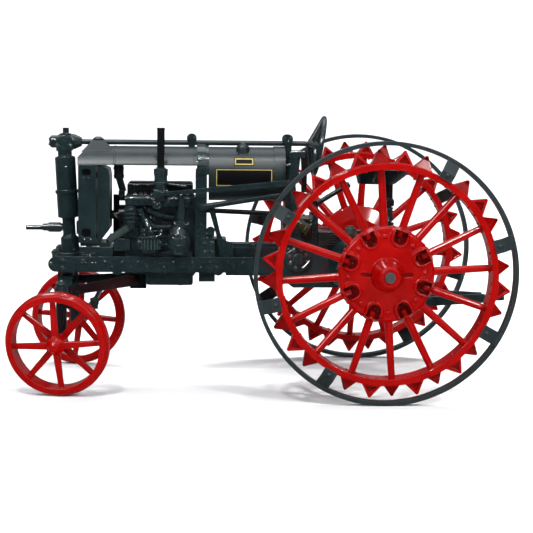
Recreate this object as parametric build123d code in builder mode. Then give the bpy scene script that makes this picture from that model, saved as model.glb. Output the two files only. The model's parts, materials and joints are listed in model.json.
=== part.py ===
# Die-cast scale model of a 1930s row-crop tractor on steel wheels, about 1:16.
# Millimetres. +X is the way the tractor drives, +Y its left side, +Z up.
# The origin is on the floor, below the middle of the whole model.
# Inside this file every place is measured ahead of the rear axle (x), to the left (y)
# and above the floor (z), through the three datum planes below.
import os
from math import cos, radians, sin, sqrt

from build123d import *

os.makedirs("parts", exist_ok=True)

# Fits and clearances
running_gap = 0.05       # radial, a pin or axle in its bore
face_gap = 0.10          # between faces that turn against each other

# Rear wheels
wheelbase = 122.6
rear_track = 112.2       # between the middles of the two road bands
band_radius = 49.5
band_thick = 1.5
band_width = 4.8
rim_radius = 41.5
rim_thick = 2.4
rim_width = 9.5
lug_count = 16           # in each of the two rows
lug_height = 5.0
lug_base = 7.4
lug_turn = 15.1          # where the outer row starts, from straight ahead
lug_hollow = 2.3
clip_pitch = 45.0
clip_places = (0, 1, 3, 4, 5, 7)
slot_length = 4.0        # of the two slots beside the hub's boss
slot_width = 1.7
slot_depth = 1.5
clip_width = 5.2
clip_thick = 0.85
hub_radius = 18.0
hub_inner_depth = 4.5    # from the wheel's middle to the hub's inner end
hub_rise = 3.2
boss_radius = 5.8
boss_top_radius = 3.9
boss_length = 8.8
pocket_count = 8
pocket_radius = 2.5
pocket_floor = -1.6
pocket_start = 14.2      # from the wheel's middle to the centre of the pocket's round end
collar_foot = 4.7        # raised collar round each pocket, at the dome's level
collar_top = 3.2
collar_rise = 3.1
spoke_root = 1.6
spoke_tip = 1.25
axle_radius = 1.9
axle_show = 1.4          # how far the rear axle's end stands out of the boss

# Front wheels and steering
front_radius = 20.3
front_rib = 0.7          # height of the guide rib round the tread
front_rib_width = 2.2
front_width = 7.0
front_rim_thick = 2.5
front_spokes = 4         # from each end of the hub
front_hub_radius = 3.6
front_hub_inner = 3.3
front_hub_outer = 4.6
front_cap_rise = 1.7
spindle_radius = 1.5
camber = 7.0
steer_shown = 10.0       # the wheels stand turned this far to the right
kingpin_span = 67.0
kingpin_radius = 2.1
kingpin_pin = 1.2
scrub = 6.1              # from the kingpin to the middle of the wheel
arm_length = 13.0
arm_level = 34.2
arm_thick = 1.6
arm_pin = 0.8
tie_radius = 0.95
eye_half = 1.2           # half the height of the tie rod's eyes

# Chassis and body
rail_top = 51.0
rail_height = 6.2
rail_outer = 11.0
rail_thick = 3.0
rail_front = wheelbase + 7.2
rail_rear = 36.4
rail_lugs = (102.4, 62.2)
bolster_rear = wheelbase - 10.6
beam_front = wheelbase + 2.5
beam_rear = wheelbase - 2.5
beam_top = 43.0
beam_end_top = 41.4
beam_end_bottom = 36.3
block_front = 99.4       # front face of the engine block
body_radius = 10.8       # of the round hood and fuel tank
body_level = 83.9        # height of their axis
hood_edge = 87.4         # lower edge of the hood
hood_thick = 0.9
hood_front = wheelbase - 19.0
hood_rear = 69.8
tank_front = 66.1
tank_rear = 35.5
housing_top = 66.6       # of the gear housing, under the rear shaft bracket
shaft_level = 96.2
case_rear = wheelbase - 5.4         # back of the steering gear case, where the shaft starts
shaft_side = -2.0
shaft_radius = 1.05
column_bend = 27.2       # where the steering shaft turns down to its wheel
column_slope = 10.0
wheel_reach = 5.8        # from the bend to the middle of the steering wheel's rim
steering_radius = 12.5
case_side = 11.0         # half width of the gear case
case_front = 36.3
drawbar_tip = 55.4

# Heights and reaches that follow from the sizes above
axle_level = band_radius
tilt = radians(camber)
turn = radians(steer_shown)
hub_level = front_radius * cos(tilt) + front_rib_width / 2 * sin(tilt)
wheel_lean = sin(turn) * cos(tilt)
front_reach = (wheelbase + scrub * sin(turn) + front_radius * sqrt(1 - wheel_lean**2)
               + front_rib_width / 2 * wheel_lean)
rear_axle_x = -(front_reach - drawbar_tip) / 2
rail_bottom = rail_top - rail_height
rail_inner = rail_outer - rail_thick
boss_top = hub_rise + boss_length

# Datum planes through the rear axle's foot: from the side and from the front
side_view = Plane(origin=(rear_axle_x, 0, 0), x_dir=(1, 0, 0), z_dir=(0, -1, 0))
front_view = Plane(origin=(rear_axle_x, 0, 0), x_dir=(0, 1, 0), z_dir=(1, 0, 0))
plan_view = Plane(origin=(rear_axle_x, 0, 0))
SIDES = (("left", 1), ("right", -1))
BASE = (Align.CENTER, Align.CENTER, Align.MIN)


def at(x, y, z):
    """A place given from the rear axle, as a vector in the part's frame."""
    return Vector(rear_axle_x + x, y, z)


def left_of(y):
    """The side view moved to the left by y."""
    return side_view.offset(-y)


def bar(first, last, radius, end_radius=None, mode=Mode.ADD):
    """A round bar between two vectors, added to the part being built."""
    with Locations(Plane(origin=first, z_dir=last - first)):
        if end_radius is None:
            Cylinder(radius, (last - first).length, align=BASE, mode=mode)
        else:
            Cone(radius, end_radius, (last - first).length, align=BASE, mode=mode)


def rod(start, end, radius, mode=Mode.ADD):
    """A round rod between two places given from the rear axle."""
    bar(at(*start), at(*end), radius, mode=mode)


def block(low, high, mode=Mode.ADD):
    """A box between two opposite corners."""
    size = [b - a for a, b in zip(low, high)]
    middle = [(a + b) / 2 for a, b in zip(low, high)]
    with Locations(at(*middle)):
        Box(*size, mode=mode)


def upright(x, y, low, high, radius, mode=Mode.ADD):
    """A vertical cylinder."""
    rod((x, y, low), (x, y, high), radius, mode=mode)


def save(part, name):
    """Label a finished piece and write it."""
    part.label = name
    export_step(part, f"parts/{name}.step")


# Rear wheels
rim_inner = rim_radius - rim_thick
lug_row = rim_width / 4
lug_width = rim_width / 2 - 0.3
lug_seat = 0.4           # how far a lug's base reaches into the rim
band_inner = band_radius - band_thick
spoke_pitch = 180 / pocket_count
clip_foot = rim_radius - 0.5
clip_bend = rim_radius + 2.3

with BuildPart() as lug:
    with BuildSketch(Plane.YZ.offset(rim_radius - lug_seat)):
        Rectangle(lug_base, lug_width)
    with BuildSketch(Plane.YZ.offset(rim_radius + lug_height)):
        Rectangle(0.7, 0.7)
    loft()
    with BuildSketch(Plane.XY.offset(lug_width / 2)):
        with BuildLine():
            Polyline((rim_radius + 0.4, -lug_base * 0.32), (rim_radius + 0.4, lug_base * 0.32),
                     (rim_radius + lug_height * 0.7, 0), close=True)
        make_face()
    extrude(amount=-lug_hollow, mode=Mode.SUBTRACT)

with BuildPart() as clip:
    with BuildSketch(Plane.XZ.offset(-clip_width / 2)):
        with BuildLine():
            Polyline((clip_foot, rim_width / 2), (clip_bend, rim_width / 2),
                     (band_inner - 0.2, band_width / 2), (band_radius - 0.3, band_width / 2),
                     (band_radius - 0.3, band_width / 2 + clip_thick),
                     (band_inner - 0.2, band_width / 2 + clip_thick),
                     (clip_bend + 0.2, rim_width / 2 + clip_thick),
                     (clip_foot, rim_width / 2 + clip_thick), close=True)
        make_face()
    extrude(amount=clip_width)

for side, way in SIDES:
    face = Plane(origin=at(0, way * rear_track / 2, axle_level), x_dir=(1, 0, 0), z_dir=(0, way, 0))
    profile = Plane(origin=face.origin, x_dir=face.x_dir, z_dir=-face.y_dir)

    # Rim with two staggered rows of hollow spade lugs; a clip takes the place of six of them
    with BuildPart() as rear_rim:
        with BuildSketch(face.offset(-rim_width / 2)):
            Circle(rim_radius)
            Circle(rim_inner, mode=Mode.SUBTRACT)
        extrude(amount=rim_width)
        for place in range(lug_count):
            angle = place * 360 / lug_count
            if not any(abs(angle - clip_place * clip_pitch) < 1 for clip_place in clip_places):
                with Locations(face.location * Location((0, 0, lug_row), (0, 0, lug_turn + angle))):
                    add(lug.part)
            with Locations(face.location * Location((0, 0, -lug_row), (180, 0, -angle - lug_turn
                                                                      - 180 / lug_count))):
                add(lug.part)
    save(rear_rim.part, f"rear_rim_{side}")

    # Road band round the lugs, held by clips bolted to the rim's outer face
    with BuildPart() as road_band:
        with BuildSketch(face.offset(-band_width / 2)):
            Circle(band_radius)
            Circle(band_inner, mode=Mode.SUBTRACT)
        extrude(amount=band_width)
        for place in clip_places:
            with Locations(face.location * Location((0, 0, 0), (0, 0, lug_turn + place * clip_pitch))):
                add(clip.part)
    save(road_band.part, f"road_band_{side}")

    # Wheel centre: domed hub with open pockets, raised boss and sixteen staggered spokes
    pocket_end = hub_radius - 0.9
    with BuildPart() as rear_hub:
        with BuildSketch(profile):
            with BuildLine():
                Polyline(
                    (0, -hub_inner_depth),
                    (hub_radius - 5.5, -hub_inner_depth),
                    (hub_radius, -hub_inner_depth + 1.8),
                    (hub_radius, 0.6),
                    (hub_radius - 0.9, 1.4),
                    (boss_radius + 4.5, hub_rise - 0.6),
                    (boss_radius + 0.6, hub_rise),
                    (boss_radius, hub_rise + 1.2),
                    (boss_top_radius, boss_top - 0.6),
                    (boss_top_radius - 0.6, boss_top),
                    (0, boss_top),
                    close=True)
            make_face()
        revolve(axis=Axis(face.origin, face.z_dir))
        pocket_angles = [lug_turn + (2 * pocket + 0.5) * spoke_pitch for pocket in range(pocket_count)]
        for angle in pocket_angles:
            centre = face.from_local_coords((pocket_start * cos(radians(angle)),
                                             pocket_start * sin(radians(angle)), 0))
            bar(centre, centre + face.z_dir * collar_rise, collar_foot, collar_top)
        with BuildSketch(face.offset(-rim_width)):
            Circle(rim_radius)
            Circle(hub_radius + 0.4, mode=Mode.SUBTRACT)
        extrude(amount=2 * rim_width, mode=Mode.SUBTRACT)
        for angle in pocket_angles:
            centre = face.from_local_coords((pocket_start * cos(radians(angle)),
                                             pocket_start * sin(radians(angle)), pocket_floor))
            outward = face.from_local_coords((cos(radians(angle)), sin(radians(angle)), 0)) - face.origin
            with BuildSketch(Plane(origin=centre, x_dir=outward, z_dir=face.z_dir)):
                Circle(pocket_radius)
                with Locations(((pocket_end - pocket_start) / 2, 0)):
                    Rectangle(pocket_end - pocket_start, 2 * pocket_radius)
            extrude(amount=2 * hub_rise, mode=Mode.SUBTRACT)
        # Slots for the clamping bolts, one each side of the boss
        with BuildSketch(face.offset(hub_rise - slot_depth)):
            for slot_way in (1, -1):
                with Locations((slot_way * (boss_radius + slot_length / 2), 0)):
                    SlotOverall(slot_length, slot_width)
        extrude(amount=hub_rise, mode=Mode.SUBTRACT)
        for spoke in range(2 * pocket_count):
            angle = radians(lug_turn + (spoke + 0.5) * spoke_pitch)
            in_pocket = spoke % 2 == 0
            start = pocket_start + 0.6 if in_pocket else hub_radius - 1.2
            level = pocket_floor + 0.6 if in_pocket else -0.9
            first = face.from_local_coords((start * cos(angle), start * sin(angle), level))
            last = face.from_local_coords((rim_radius * cos(angle), rim_radius * sin(angle), 0))
            bar(first, last, spoke_root, spoke_tip)
        with BuildSketch(face.offset(-rim_width)):
            Circle(rim_radius + spoke_root)
            Circle(rim_inner, mode=Mode.SUBTRACT)
        extrude(amount=2 * rim_width, mode=Mode.SUBTRACT)
        with Locations(face.offset(-rim_width)):
            Cylinder(axle_radius + running_gap, 4 * rim_width, align=BASE, mode=Mode.SUBTRACT)
    save(rear_hub.part, f"rear_hub_{side}")

axle_half = rear_track / 2 + boss_top + axle_show
with BuildPart() as rear_axle:
    rod((0, -axle_half, axle_level), (0, axle_half, axle_level), axle_radius)
save(rear_axle.part, "rear_axle")

# Front wheels, knuckles and tie rod, all standing as the wheels are turned
front_rim_inner = front_radius - front_rib - front_rim_thick
arm_end_x = wheelbase - arm_length * cos(turn)
arm_end_shift = arm_length * sin(turn)
tie_level = arm_level + arm_thick / 2 + face_gap + eye_half

for side, way in SIDES:
    kingpin_y = way * kingpin_span / 2
    hub_x = wheelbase + way * scrub * sin(turn)
    hub_y = kingpin_y + way * scrub * cos(turn)
    outward = Vector(way * sin(turn) * cos(tilt), way * cos(turn) * cos(tilt), -sin(tilt))
    face = Plane(origin=at(hub_x, hub_y, hub_level), x_dir=(cos(turn), -sin(turn), 0), z_dir=outward)
    profile = Plane(origin=face.origin, x_dir=face.x_dir, z_dir=-face.y_dir)

    with BuildPart() as front_wheel:
        # Rim with its guide rib
        with BuildSketch(profile):
            with BuildLine():
                tread = front_radius - front_rib
                Polyline((front_rim_inner, -front_width / 2), (tread - 0.4, -front_width / 2),
                         (tread, -front_width / 2 + 0.5), (tread, -front_rib_width / 2 - 0.4),
                         (front_radius, -front_rib_width / 2), (front_radius, front_rib_width / 2),
                         (tread, front_rib_width / 2 + 0.4), (tread, front_width / 2 - 0.5),
                         (tread - 0.4, front_width / 2), (front_rim_inner, front_width / 2), close=True)
            make_face()
        revolve(axis=Axis(face.origin, face.z_dir))
        # Hub with its domed cap
        with BuildSketch(profile):
            with BuildLine():
                Polyline((0, -front_hub_inner), (front_hub_radius, -front_hub_inner),
                         (front_hub_radius, front_hub_outer - 0.8),
                         (front_hub_radius - 0.8, front_hub_outer),
                         (front_hub_radius - 1.6, front_hub_outer + front_cap_rise - 0.6),
                         (front_hub_radius - 2.6, front_hub_outer + front_cap_rise),
                         (0, front_hub_outer + front_cap_rise), close=True)
            make_face()
        revolve(axis=Axis(face.origin, face.z_dir))
        # Flat spokes, every other one from the outer end of the hub
        for spoke in range(2 * front_spokes):
            angle = radians(spoke * 180 / front_spokes + 4)
            level = 2.6 if spoke % 2 == 0 else -2.2
            start = 2.4
            end = front_rim_inner + 0.6
            first = face.from_local_coords((start * cos(angle), start * sin(angle), level))
            last = face.from_local_coords((end * cos(angle), end * sin(angle), level * 0.3))
            with BuildSketch(Plane(origin=first, x_dir=face.z_dir, z_dir=last - first)):
                RectangleRounded(1.7, 2.9, 0.6)
            with BuildSketch(Plane(origin=last, x_dir=face.z_dir, z_dir=last - first)):
                RectangleRounded(1.5, 2.2, 0.6)
            loft()
        with Locations(face.offset(-front_hub_inner)):
            Cylinder(spindle_radius + running_gap, front_hub_inner + front_hub_outer - 1.2,
                     align=BASE, mode=Mode.SUBTRACT)
    save(front_wheel.part, f"front_wheel_{side}")

    # Knuckle: kingpin, spindle for the wheel and steering arm with its pin
    spindle_level = hub_level + scrub * sin(tilt)
    with BuildPart() as knuckle:
        upright(wheelbase, kingpin_y, spindle_level - 2.2, beam_end_bottom - face_gap, kingpin_radius)
        upright(wheelbase, kingpin_y, beam_end_bottom - face_gap, beam_end_top + face_gap, kingpin_pin)
        upright(wheelbase, kingpin_y, beam_end_top + face_gap, beam_end_top + 1.3, kingpin_radius)
        bar(face.origin - outward * (scrub / cos(tilt)), face.origin + outward * 3.0, spindle_radius)
        arm_start = at(wheelbase, kingpin_y, arm_level)
        arm_end = at(arm_end_x, kingpin_y + arm_end_shift, arm_level)
        with BuildSketch(Plane(origin=arm_start, x_dir=arm_end - arm_start, z_dir=(0, 0, 1))):
            with Locations((arm_length / 2, 0)):
                SlotCenterToCenter(arm_length, 2.8)
        extrude(amount=arm_thick / 2, both=True)
        upright(arm_end_x, kingpin_y + arm_end_shift, arm_level, tie_level + eye_half + 0.4, arm_pin)
    save(knuckle.part, f"knuckle_{side}")

with BuildPart() as tie_rod:
    eyes = [(arm_end_x, way * kingpin_span / 2 + arm_end_shift) for side, way in SIDES]
    rod((arm_end_x, eyes[0][1] - 1.3, tie_level), (arm_end_x, eyes[1][1] + 1.3, tie_level), tie_radius)
    for eye_x, eye_y in eyes:
        upright(eye_x, eye_y, tie_level - eye_half, tie_level + eye_half, 1.7)
    for eye_x, eye_y in eyes:
        upright(eye_x, eye_y, tie_level - 2, tie_level + 2, arm_pin + running_gap, Mode.SUBTRACT)
save(tie_rod.part, "tie_rod")

# Front axle: a forged beam with an eye for each kingpin
eye_radius = 2.7
with BuildPart() as front_axle:
    with BuildSketch(front_view.offset(beam_rear)):
        with BuildLine():
            reach = kingpin_span / 2
            flat = reach - eye_radius - 0.5
            Polyline((-reach, beam_end_bottom), (-flat, beam_end_bottom), (-8, 38.6), (8, 38.6),
                     (flat, beam_end_bottom), (reach, beam_end_bottom), (reach, beam_end_top),
                     (flat, beam_end_top), (8, beam_top), (-8, beam_top), (-flat, beam_end_top),
                     (-reach, beam_end_top), close=True)
        make_face()
    extrude(amount=beam_front - beam_rear)
    for side, way in SIDES:
        upright(wheelbase, way * reach, beam_end_bottom, beam_end_top, eye_radius)
        upright(wheelbase, way * reach, beam_end_bottom - 1, beam_end_top + 1,
                kingpin_pin + running_gap, Mode.SUBTRACT)
save(front_axle.part, "front_axle")

pan_front = 91.0
block_bottom = 43.8      # underside of the engine block
rod_foot = 93.4          # where the two radius rods meet under the engine
with BuildPart() as radius_rods:
    for side, way in SIDES:
        first, last = at(beam_rear + 1, way * 22, 38.3), at(rod_foot, way * 1.6, 41.2)
        for place, depth in ((first, 3.2), (last, 4.8)):
            with BuildSketch(Plane(origin=place, x_dir=(0, 0, 1), z_dir=last - first)):
                Rectangle(depth, 1.8)
        loft()
    block((pan_front + face_gap, -3, 37.4), (pan_front + 6.6, 3, block_bottom))
    block((beam_rear, -26, 34), (beam_rear + 4, 26, 44), Mode.SUBTRACT)
save(radius_rods.part, "radius_rods")

# Side rails with round front ends, and the bolster between them
for side, way in SIDES:
    with BuildPart() as rail:
        with BuildSketch(side_view.offset(-way * (rail_inner + rail_thick / 2))):
            with Locations(((rail_front + rail_rear) / 2, rail_top - rail_height / 2)):
                SlotOverall(rail_front - rail_rear, rail_height)
            with Locations((rail_rear + rail_height / 2, rail_top - rail_height / 2)):
                Rectangle(rail_height, rail_height)
        extrude(amount=rail_thick / 2, both=True)
        for lug_x in rail_lugs:
            lug_level = rail_bottom + 1.1
            rod((lug_x, way * rail_inner, lug_level), (lug_x, way * rail_outer, lug_level), 2.3)
    save(rail.part, f"side_rail_{side}")

with BuildPart() as bolster:
    block((bolster_rear, -rail_inner, rail_bottom),
          (rail_front - rail_height / 2, rail_inner, rail_top - 0.4))
    rod((rail_front - rail_height / 2, -rail_inner, rail_top - rail_height / 2),
        (rail_front - rail_height / 2, rail_inner, rail_top - rail_height / 2), rail_height / 2 - 0.2)
    block((beam_rear + 0.4, -5, beam_top), (beam_front - 0.4, 5, rail_bottom))
    for low, high in ((beam_rear - 1.6, beam_rear), (beam_front, beam_front + 1.6)):
        block((low, -3.2, 39.0), (high, 3.2, rail_bottom))
save(bolster.part, "front_bolster")

# Steering pedestal, leaning a little forward, with the gear case on its top
case_middle = wheelbase + 1.35
ped_foot = at(wheelbase - 0.9, 0, rail_top - 0.4)
ped_head = at(case_middle, 0, 92.6)
ped_line = ped_head - ped_foot
with BuildPart() as pedestal:
    with BuildSketch(Plane(origin=ped_foot, x_dir=(0, 1, 0), z_dir=Vector(0, 1, 0).cross(ped_line))):
        with BuildLine():
            up = ped_line.length
            Polyline((0, -0.4), (0, up), (-2.8, up), (-2.8, up - 2.0), (-4.1, up - 2.6), (-4.1, up - 15.6),
                     (-4.7, up - 15.8), (-4.7, up - 17.0), (-4.2, up - 17.2), (-4.2, up - 26.6),
                     (-2.6, up - 27.2), (-2.6, 8.2), (-3.6, 7.0), (-3.8, -0.4), close=True)
        make_face()
    revolve(axis=Axis(ped_foot, ped_line))
    block((wheelbase - 8, -6, rail_bottom), (wheelbase + 8, 6, rail_top - 0.4), Mode.SUBTRACT)
save(pedestal.part, "steering_pedestal")

with BuildPart() as gear_case:
    barrel = Plane(origin=at(case_rear, shaft_side, shaft_level), x_dir=(1, 0, 0), z_dir=(0, -1, 0))
    with BuildSketch(barrel):
        with BuildLine():
            Polyline((0, 0), (0, 1.7), (1.2, 2.3), (3.0, 3.1), (9.0, 3.2), (9.6, 2.5), (12.2, 2.5),
                     (13.0, 1.6), (13.0, 0), close=True)
        make_face()
    revolve(axis=Axis(barrel.origin, (1, 0, 0)))
    bar(ped_head, ped_head + ped_line.normalized() * 6, 3.4)
    upright(case_middle - 0.4, -0.8, 98.0, 99.6, 2.1)
    upright(case_middle - 0.4, -0.8, 99.6, 101.8, 1.25)
save(gear_case.part, "steering_gear_case")

# Radiator: a core between two cast columns, with a shroud and fan behind
rad_rear = hood_front + 7.2
rad_front = rad_rear + 7.1
rad_bottom, rad_top = 56.4, 87.3
rad_half = 10.4
with BuildPart() as radiator:
    block((rad_rear, -rad_half, rad_bottom), (rad_front, rad_half, rad_top))
    block((rad_front - 1.2, -rad_half + 3, rad_bottom + 2), (rad_front + 1, rad_half - 3, rad_top - 2),
          Mode.SUBTRACT)
    for side, way in SIDES:
        for level, height in ((rad_bottom + 3.9, 3.6), (rad_top - 2.8, 3.0)):
            with BuildSketch(side_view.offset(-way * rad_half)):
                with Locations(((rad_rear + rad_front) / 2 + 0.3, level)):
                    RectangleRounded(3.7, height, 1.2)
            extrude(amount=way * 3.6, mode=Mode.SUBTRACT)
    # Guard in front of the core, behind the steering pedestal
    block((rad_front - 1.3, -2.2, 59.2), (wheelbase - 4.5, 2.2, 77.0))
    block((rad_front - 1.3, -2.2, 59.2), (wheelbase - 3.4, 2.2, 64.4))
    block((rad_rear + 1.3, -5, rail_top - 0.4), (rad_front - 0.4, 5, rad_bottom))
    block((rad_rear - 6.5, -9.2, rail_top), (rad_front - 0.4, 9.2, rad_bottom - 1.8))
    block((rad_rear - 5.5, -8.6, rail_top), (rad_front - 0.8, 8.6, rad_bottom))
save(radiator.part, "radiator")

tank_slope = 4.0
filler_top = 97.0
tank_length = 14.6
tank_face = hood_front + tank_length
filler_x = hood_front + 6.7
filler_side = 2.6        # the steering shaft passes to its right
with BuildPart() as top_tank:
    with BuildSketch(front_view.offset(hood_front)):
        with Locations((0, body_level)):
            Circle(body_radius)
        with Locations((0, hood_edge - body_radius)):
            Rectangle(3 * body_radius, 2 * body_radius, mode=Mode.SUBTRACT)
    extrude(amount=tank_length)
    with BuildSketch(side_view):
        with BuildLine():
            Polyline((tank_face + 0.1, hood_edge + 2.9), (tank_face + 0.1, 96), (tank_face - tank_slope, 96),
                     (tank_face - tank_slope, body_level + body_radius), close=True)
        make_face()
    extrude(amount=2 * body_radius, both=True, mode=Mode.SUBTRACT)
    with BuildSketch(plan_view.offset(92.4)):
        with Locations((filler_x, filler_side)):
            Rectangle(13.4, 6.8)
    with BuildSketch(plan_view.offset(filler_top)):
        with Locations((filler_x, filler_side)):
            Rectangle(4.6, 4.2)
    loft()
save(top_tank.part, "radiator_top_tank")

with BuildPart() as radiator_cap:
    upright(filler_x, filler_side, filler_top, filler_top + 0.7, 2.2)
    bar(at(filler_x, filler_side, filler_top + 0.7), at(filler_x, filler_side, filler_top + 1.5), 2.0, 1.0)
save(radiator_cap.part, "radiator_cap")

shroud_front = rad_rear - 0.5
shroud_rear = shroud_front - 4.9
with BuildPart() as shroud:
    with BuildSketch(side_view):
        with BuildLine():
            Polyline((shroud_front, 56.6), (shroud_front, 87.2), (shroud_front - 1.1, 87.2),
                     (shroud_rear + 0.5, 85.7), (shroud_rear, 82.5), (shroud_rear, 61.9),
                     (shroud_rear + 4.0, 56.6), close=True)
        make_face()
    extrude(amount=9.2, both=True)
    rod((shroud_rear - 1, 0, 69.5), (shroud_front + 1, 0, 69.5), 8.4, Mode.SUBTRACT)
    block((shroud_front, -8, 58), (rad_rear, 8, 60))
    block((shroud_front, -8, 82), (rad_rear, 8, 84))
save(shroud.part, "fan_shroud")

# Four-bladed fan on its shaft in front of the block
fan_level = 67.0
fan_reach = 8.2
with BuildPart() as fan:
    rod((block_front + 0.2, 0, fan_level), (shroud_rear - 0.5, 0, fan_level), 1.8)
    with BuildSketch(front_view.offset(block_front + 0.3)):
        with Locations((0, fan_level - 2.8)):
            SlotCenterToCenter(5.6, 8.2, rotation=90)
    extrude(amount=2.4)
    for blade in range(4):
        angle = radians(90 * blade)
        radial = Vector(0, cos(angle), sin(angle))
        chord = Vector(0.7, -0.7 * sin(angle), 0.7 * cos(angle))
        middle = at(shroud_rear - 2.2, 0, fan_level) + radial * (fan_reach / 2 + 0.5)
        with BuildSketch(Plane(origin=middle, x_dir=radial, z_dir=radial.cross(chord))):
            Rectangle(fan_reach - 1, 3.2)
        extrude(amount=0.25, both=True)
save(fan.part, "fan")

hose_side = 4.5
with BuildPart() as upper_hose:
    rod((hood_front - 1.5, hose_side, hood_edge - 0.1), (hood_front - 1.6, hose_side, 81.8), 1.95)
    rod((hood_front - 1.6, hose_side, 82.4), (block_front + 0.9, hose_side, 76.6), 1.4)
    rod((block_front + 1.5, hose_side, 77.0), (block_front + 1.5, hose_side, 73.0), 1.3)
save(upper_hose.part, "upper_hose")

# Hood and fuel tank of one round section, with the hoop that carries them between
with BuildPart() as hood:
    with BuildSketch(front_view.offset(hood_rear)):
        with Locations((0, body_level)):
            Circle(body_radius)
            Circle(body_radius - hood_thick, mode=Mode.SUBTRACT)
        with Locations((0, hood_edge - body_radius)):
            Rectangle(3 * body_radius, 2 * body_radius, mode=Mode.SUBTRACT)
    extrude(amount=hood_front - hood_rear)
save(hood.part, "hood")

neck_x, neck_side, neck_top = 52.5, 4.7, body_level + body_radius - 0.1
with BuildPart() as fuel_tank:
    with BuildSketch(front_view.offset(tank_rear)):
        with Locations((0, body_level)):
            Circle(body_radius)
    extrude(amount=tank_front - tank_rear)
    with BuildSketch(front_view.offset(tank_rear)):
        with Locations((0, body_level)):
            Circle(body_radius + 0.35)
    extrude(amount=4.6)
    upright(neck_x, neck_side, body_level, neck_top, 2.7)
save(fuel_tank.part, "fuel_tank")

with BuildPart() as tank_cap:
    bar(at(neck_x, neck_side, neck_top), at(neck_x, neck_side, neck_top + 1.0), 2.6, 2.2)
    bar(at(neck_x, neck_side, neck_top + 0.9), at(neck_x, neck_side, neck_top + 1.9), 1.5, 0.9)
save(tank_cap.part, "tank_cap")

pillar_rear, pillar_front = 67.3, 70.9
with BuildPart() as hoop:
    with BuildSketch(front_view.offset(tank_front)):
        with Locations((0, body_level)):
            Circle(body_radius + 0.55)
            Circle(body_radius - 1.6, mode=Mode.SUBTRACT)
        with Locations((0, body_level - 2 * body_radius)):
            Rectangle(4 * body_radius, 4 * body_radius, mode=Mode.SUBTRACT)
    extrude(amount=hood_rear - tank_front)
    with BuildSketch(front_view.offset(pillar_rear)):
        with Locations((0, body_level)):
            Circle(body_radius + 1.1)
            Circle(body_radius, mode=Mode.SUBTRACT)
        with Locations((0, hood_edge - 2 * body_radius)):
            Rectangle(4 * body_radius, 4 * body_radius, mode=Mode.SUBTRACT)
    extrude(amount=pillar_front - pillar_rear)
    for side, way in SIDES:
        block((pillar_rear - 0.5, min(way * 8.2, way * 10.8), rail_top),
              (pillar_front + 0.5, max(way * 8.2, way * 10.8), hood_edge - 2.0))
        block((pillar_rear, min(way * 8.2, way * 10.8), rail_top),
              (pillar_front, max(way * 8.2, way * 10.8), hood_edge - 0.3))
        block((63.6, min(way * 8.2, way * 11), rail_top), (pillar_rear + 1.5, max(way * 8.2, way * 11), 58.6))
    rod((pillar_rear - 1, shaft_side, shaft_level), (pillar_front + 1, shaft_side, shaft_level),
        shaft_radius + running_gap, Mode.SUBTRACT)
    rod((65.3, 9.9, 61.6), (65.3, 12.6, 61.6), 1.7)
    block((64.3, 9.9, 58.6), (66.3, 11.0, 61.0))
save(hoop.part, "tank_hoop")

# Brackets that carry the steering shaft, the shaft itself and its wheel
with BuildPart() as front_bracket:
    with BuildSketch(left_of(shaft_side)):
        with Locations((73.0, shaft_level + 1.8)):
            SlotOverall(4.0, 3.8)
        with Locations((73.0, shaft_level - 1.4)):
            Rectangle(2.6, 5.6)
    extrude(amount=2.0, both=True)
    rod((70.0, shaft_side, shaft_level), (76.0, shaft_side, shaft_level), shaft_radius, Mode.SUBTRACT)
    rod((70.0, 0, body_level), (76.0, 0, body_level), body_radius, Mode.SUBTRACT)
save(front_bracket.part, "front_shaft_bracket")

bracket_rear = 32.7
with BuildPart() as rear_bracket:
    with BuildSketch(front_view.offset(bracket_rear)):
        with Locations((shaft_side, (housing_top + shaft_level + 1) / 2)):
            Rectangle(4.8, shaft_level + 1 - housing_top)
        with Locations((0, 80)):
            Rectangle(13, 16)
        with Locations((0, housing_top + 3.1)):
            Rectangle(17, 6.2)
    extrude(amount=tank_rear - bracket_rear)
    with BuildSketch(left_of(shaft_side)):
        with Locations(((bracket_rear + tank_rear) / 2 + 0.2, shaft_level + 1.8)):
            SlotOverall(4.4, 3.8)
    extrude(amount=2.3, both=True)
    rod((bracket_rear - 2, shaft_side, shaft_level), (tank_rear + 4, shaft_side, shaft_level),
        shaft_radius, Mode.SUBTRACT)
save(rear_bracket.part, "rear_shaft_bracket")

slope = radians(column_slope)
bend = at(column_bend, shaft_side, shaft_level)
wheel_axis = Vector(cos(slope), 0, sin(slope))
wheel_middle = bend - wheel_axis * wheel_reach
hub_start, hub_end = 1.1, 3.8  # of the steering wheel, behind the shaft's bend
with BuildPart() as steering_shaft:
    with BuildLine() as shaft_path:
        FilletPolyline(at(case_rear, shaft_side, shaft_level), bend, bend - wheel_axis * (hub_end + 0.6),
                       radius=8)
    with BuildSketch(Plane(origin=shaft_path.line @ 0, z_dir=shaft_path.line % 0)):
        Circle(shaft_radius)
    sweep(path=shaft_path.line)
    bar(bend - wheel_axis * (hub_end + face_gap), bend - wheel_axis * (hub_end + 0.9), 1.6)
save(steering_shaft.part, "steering_shaft")

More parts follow.
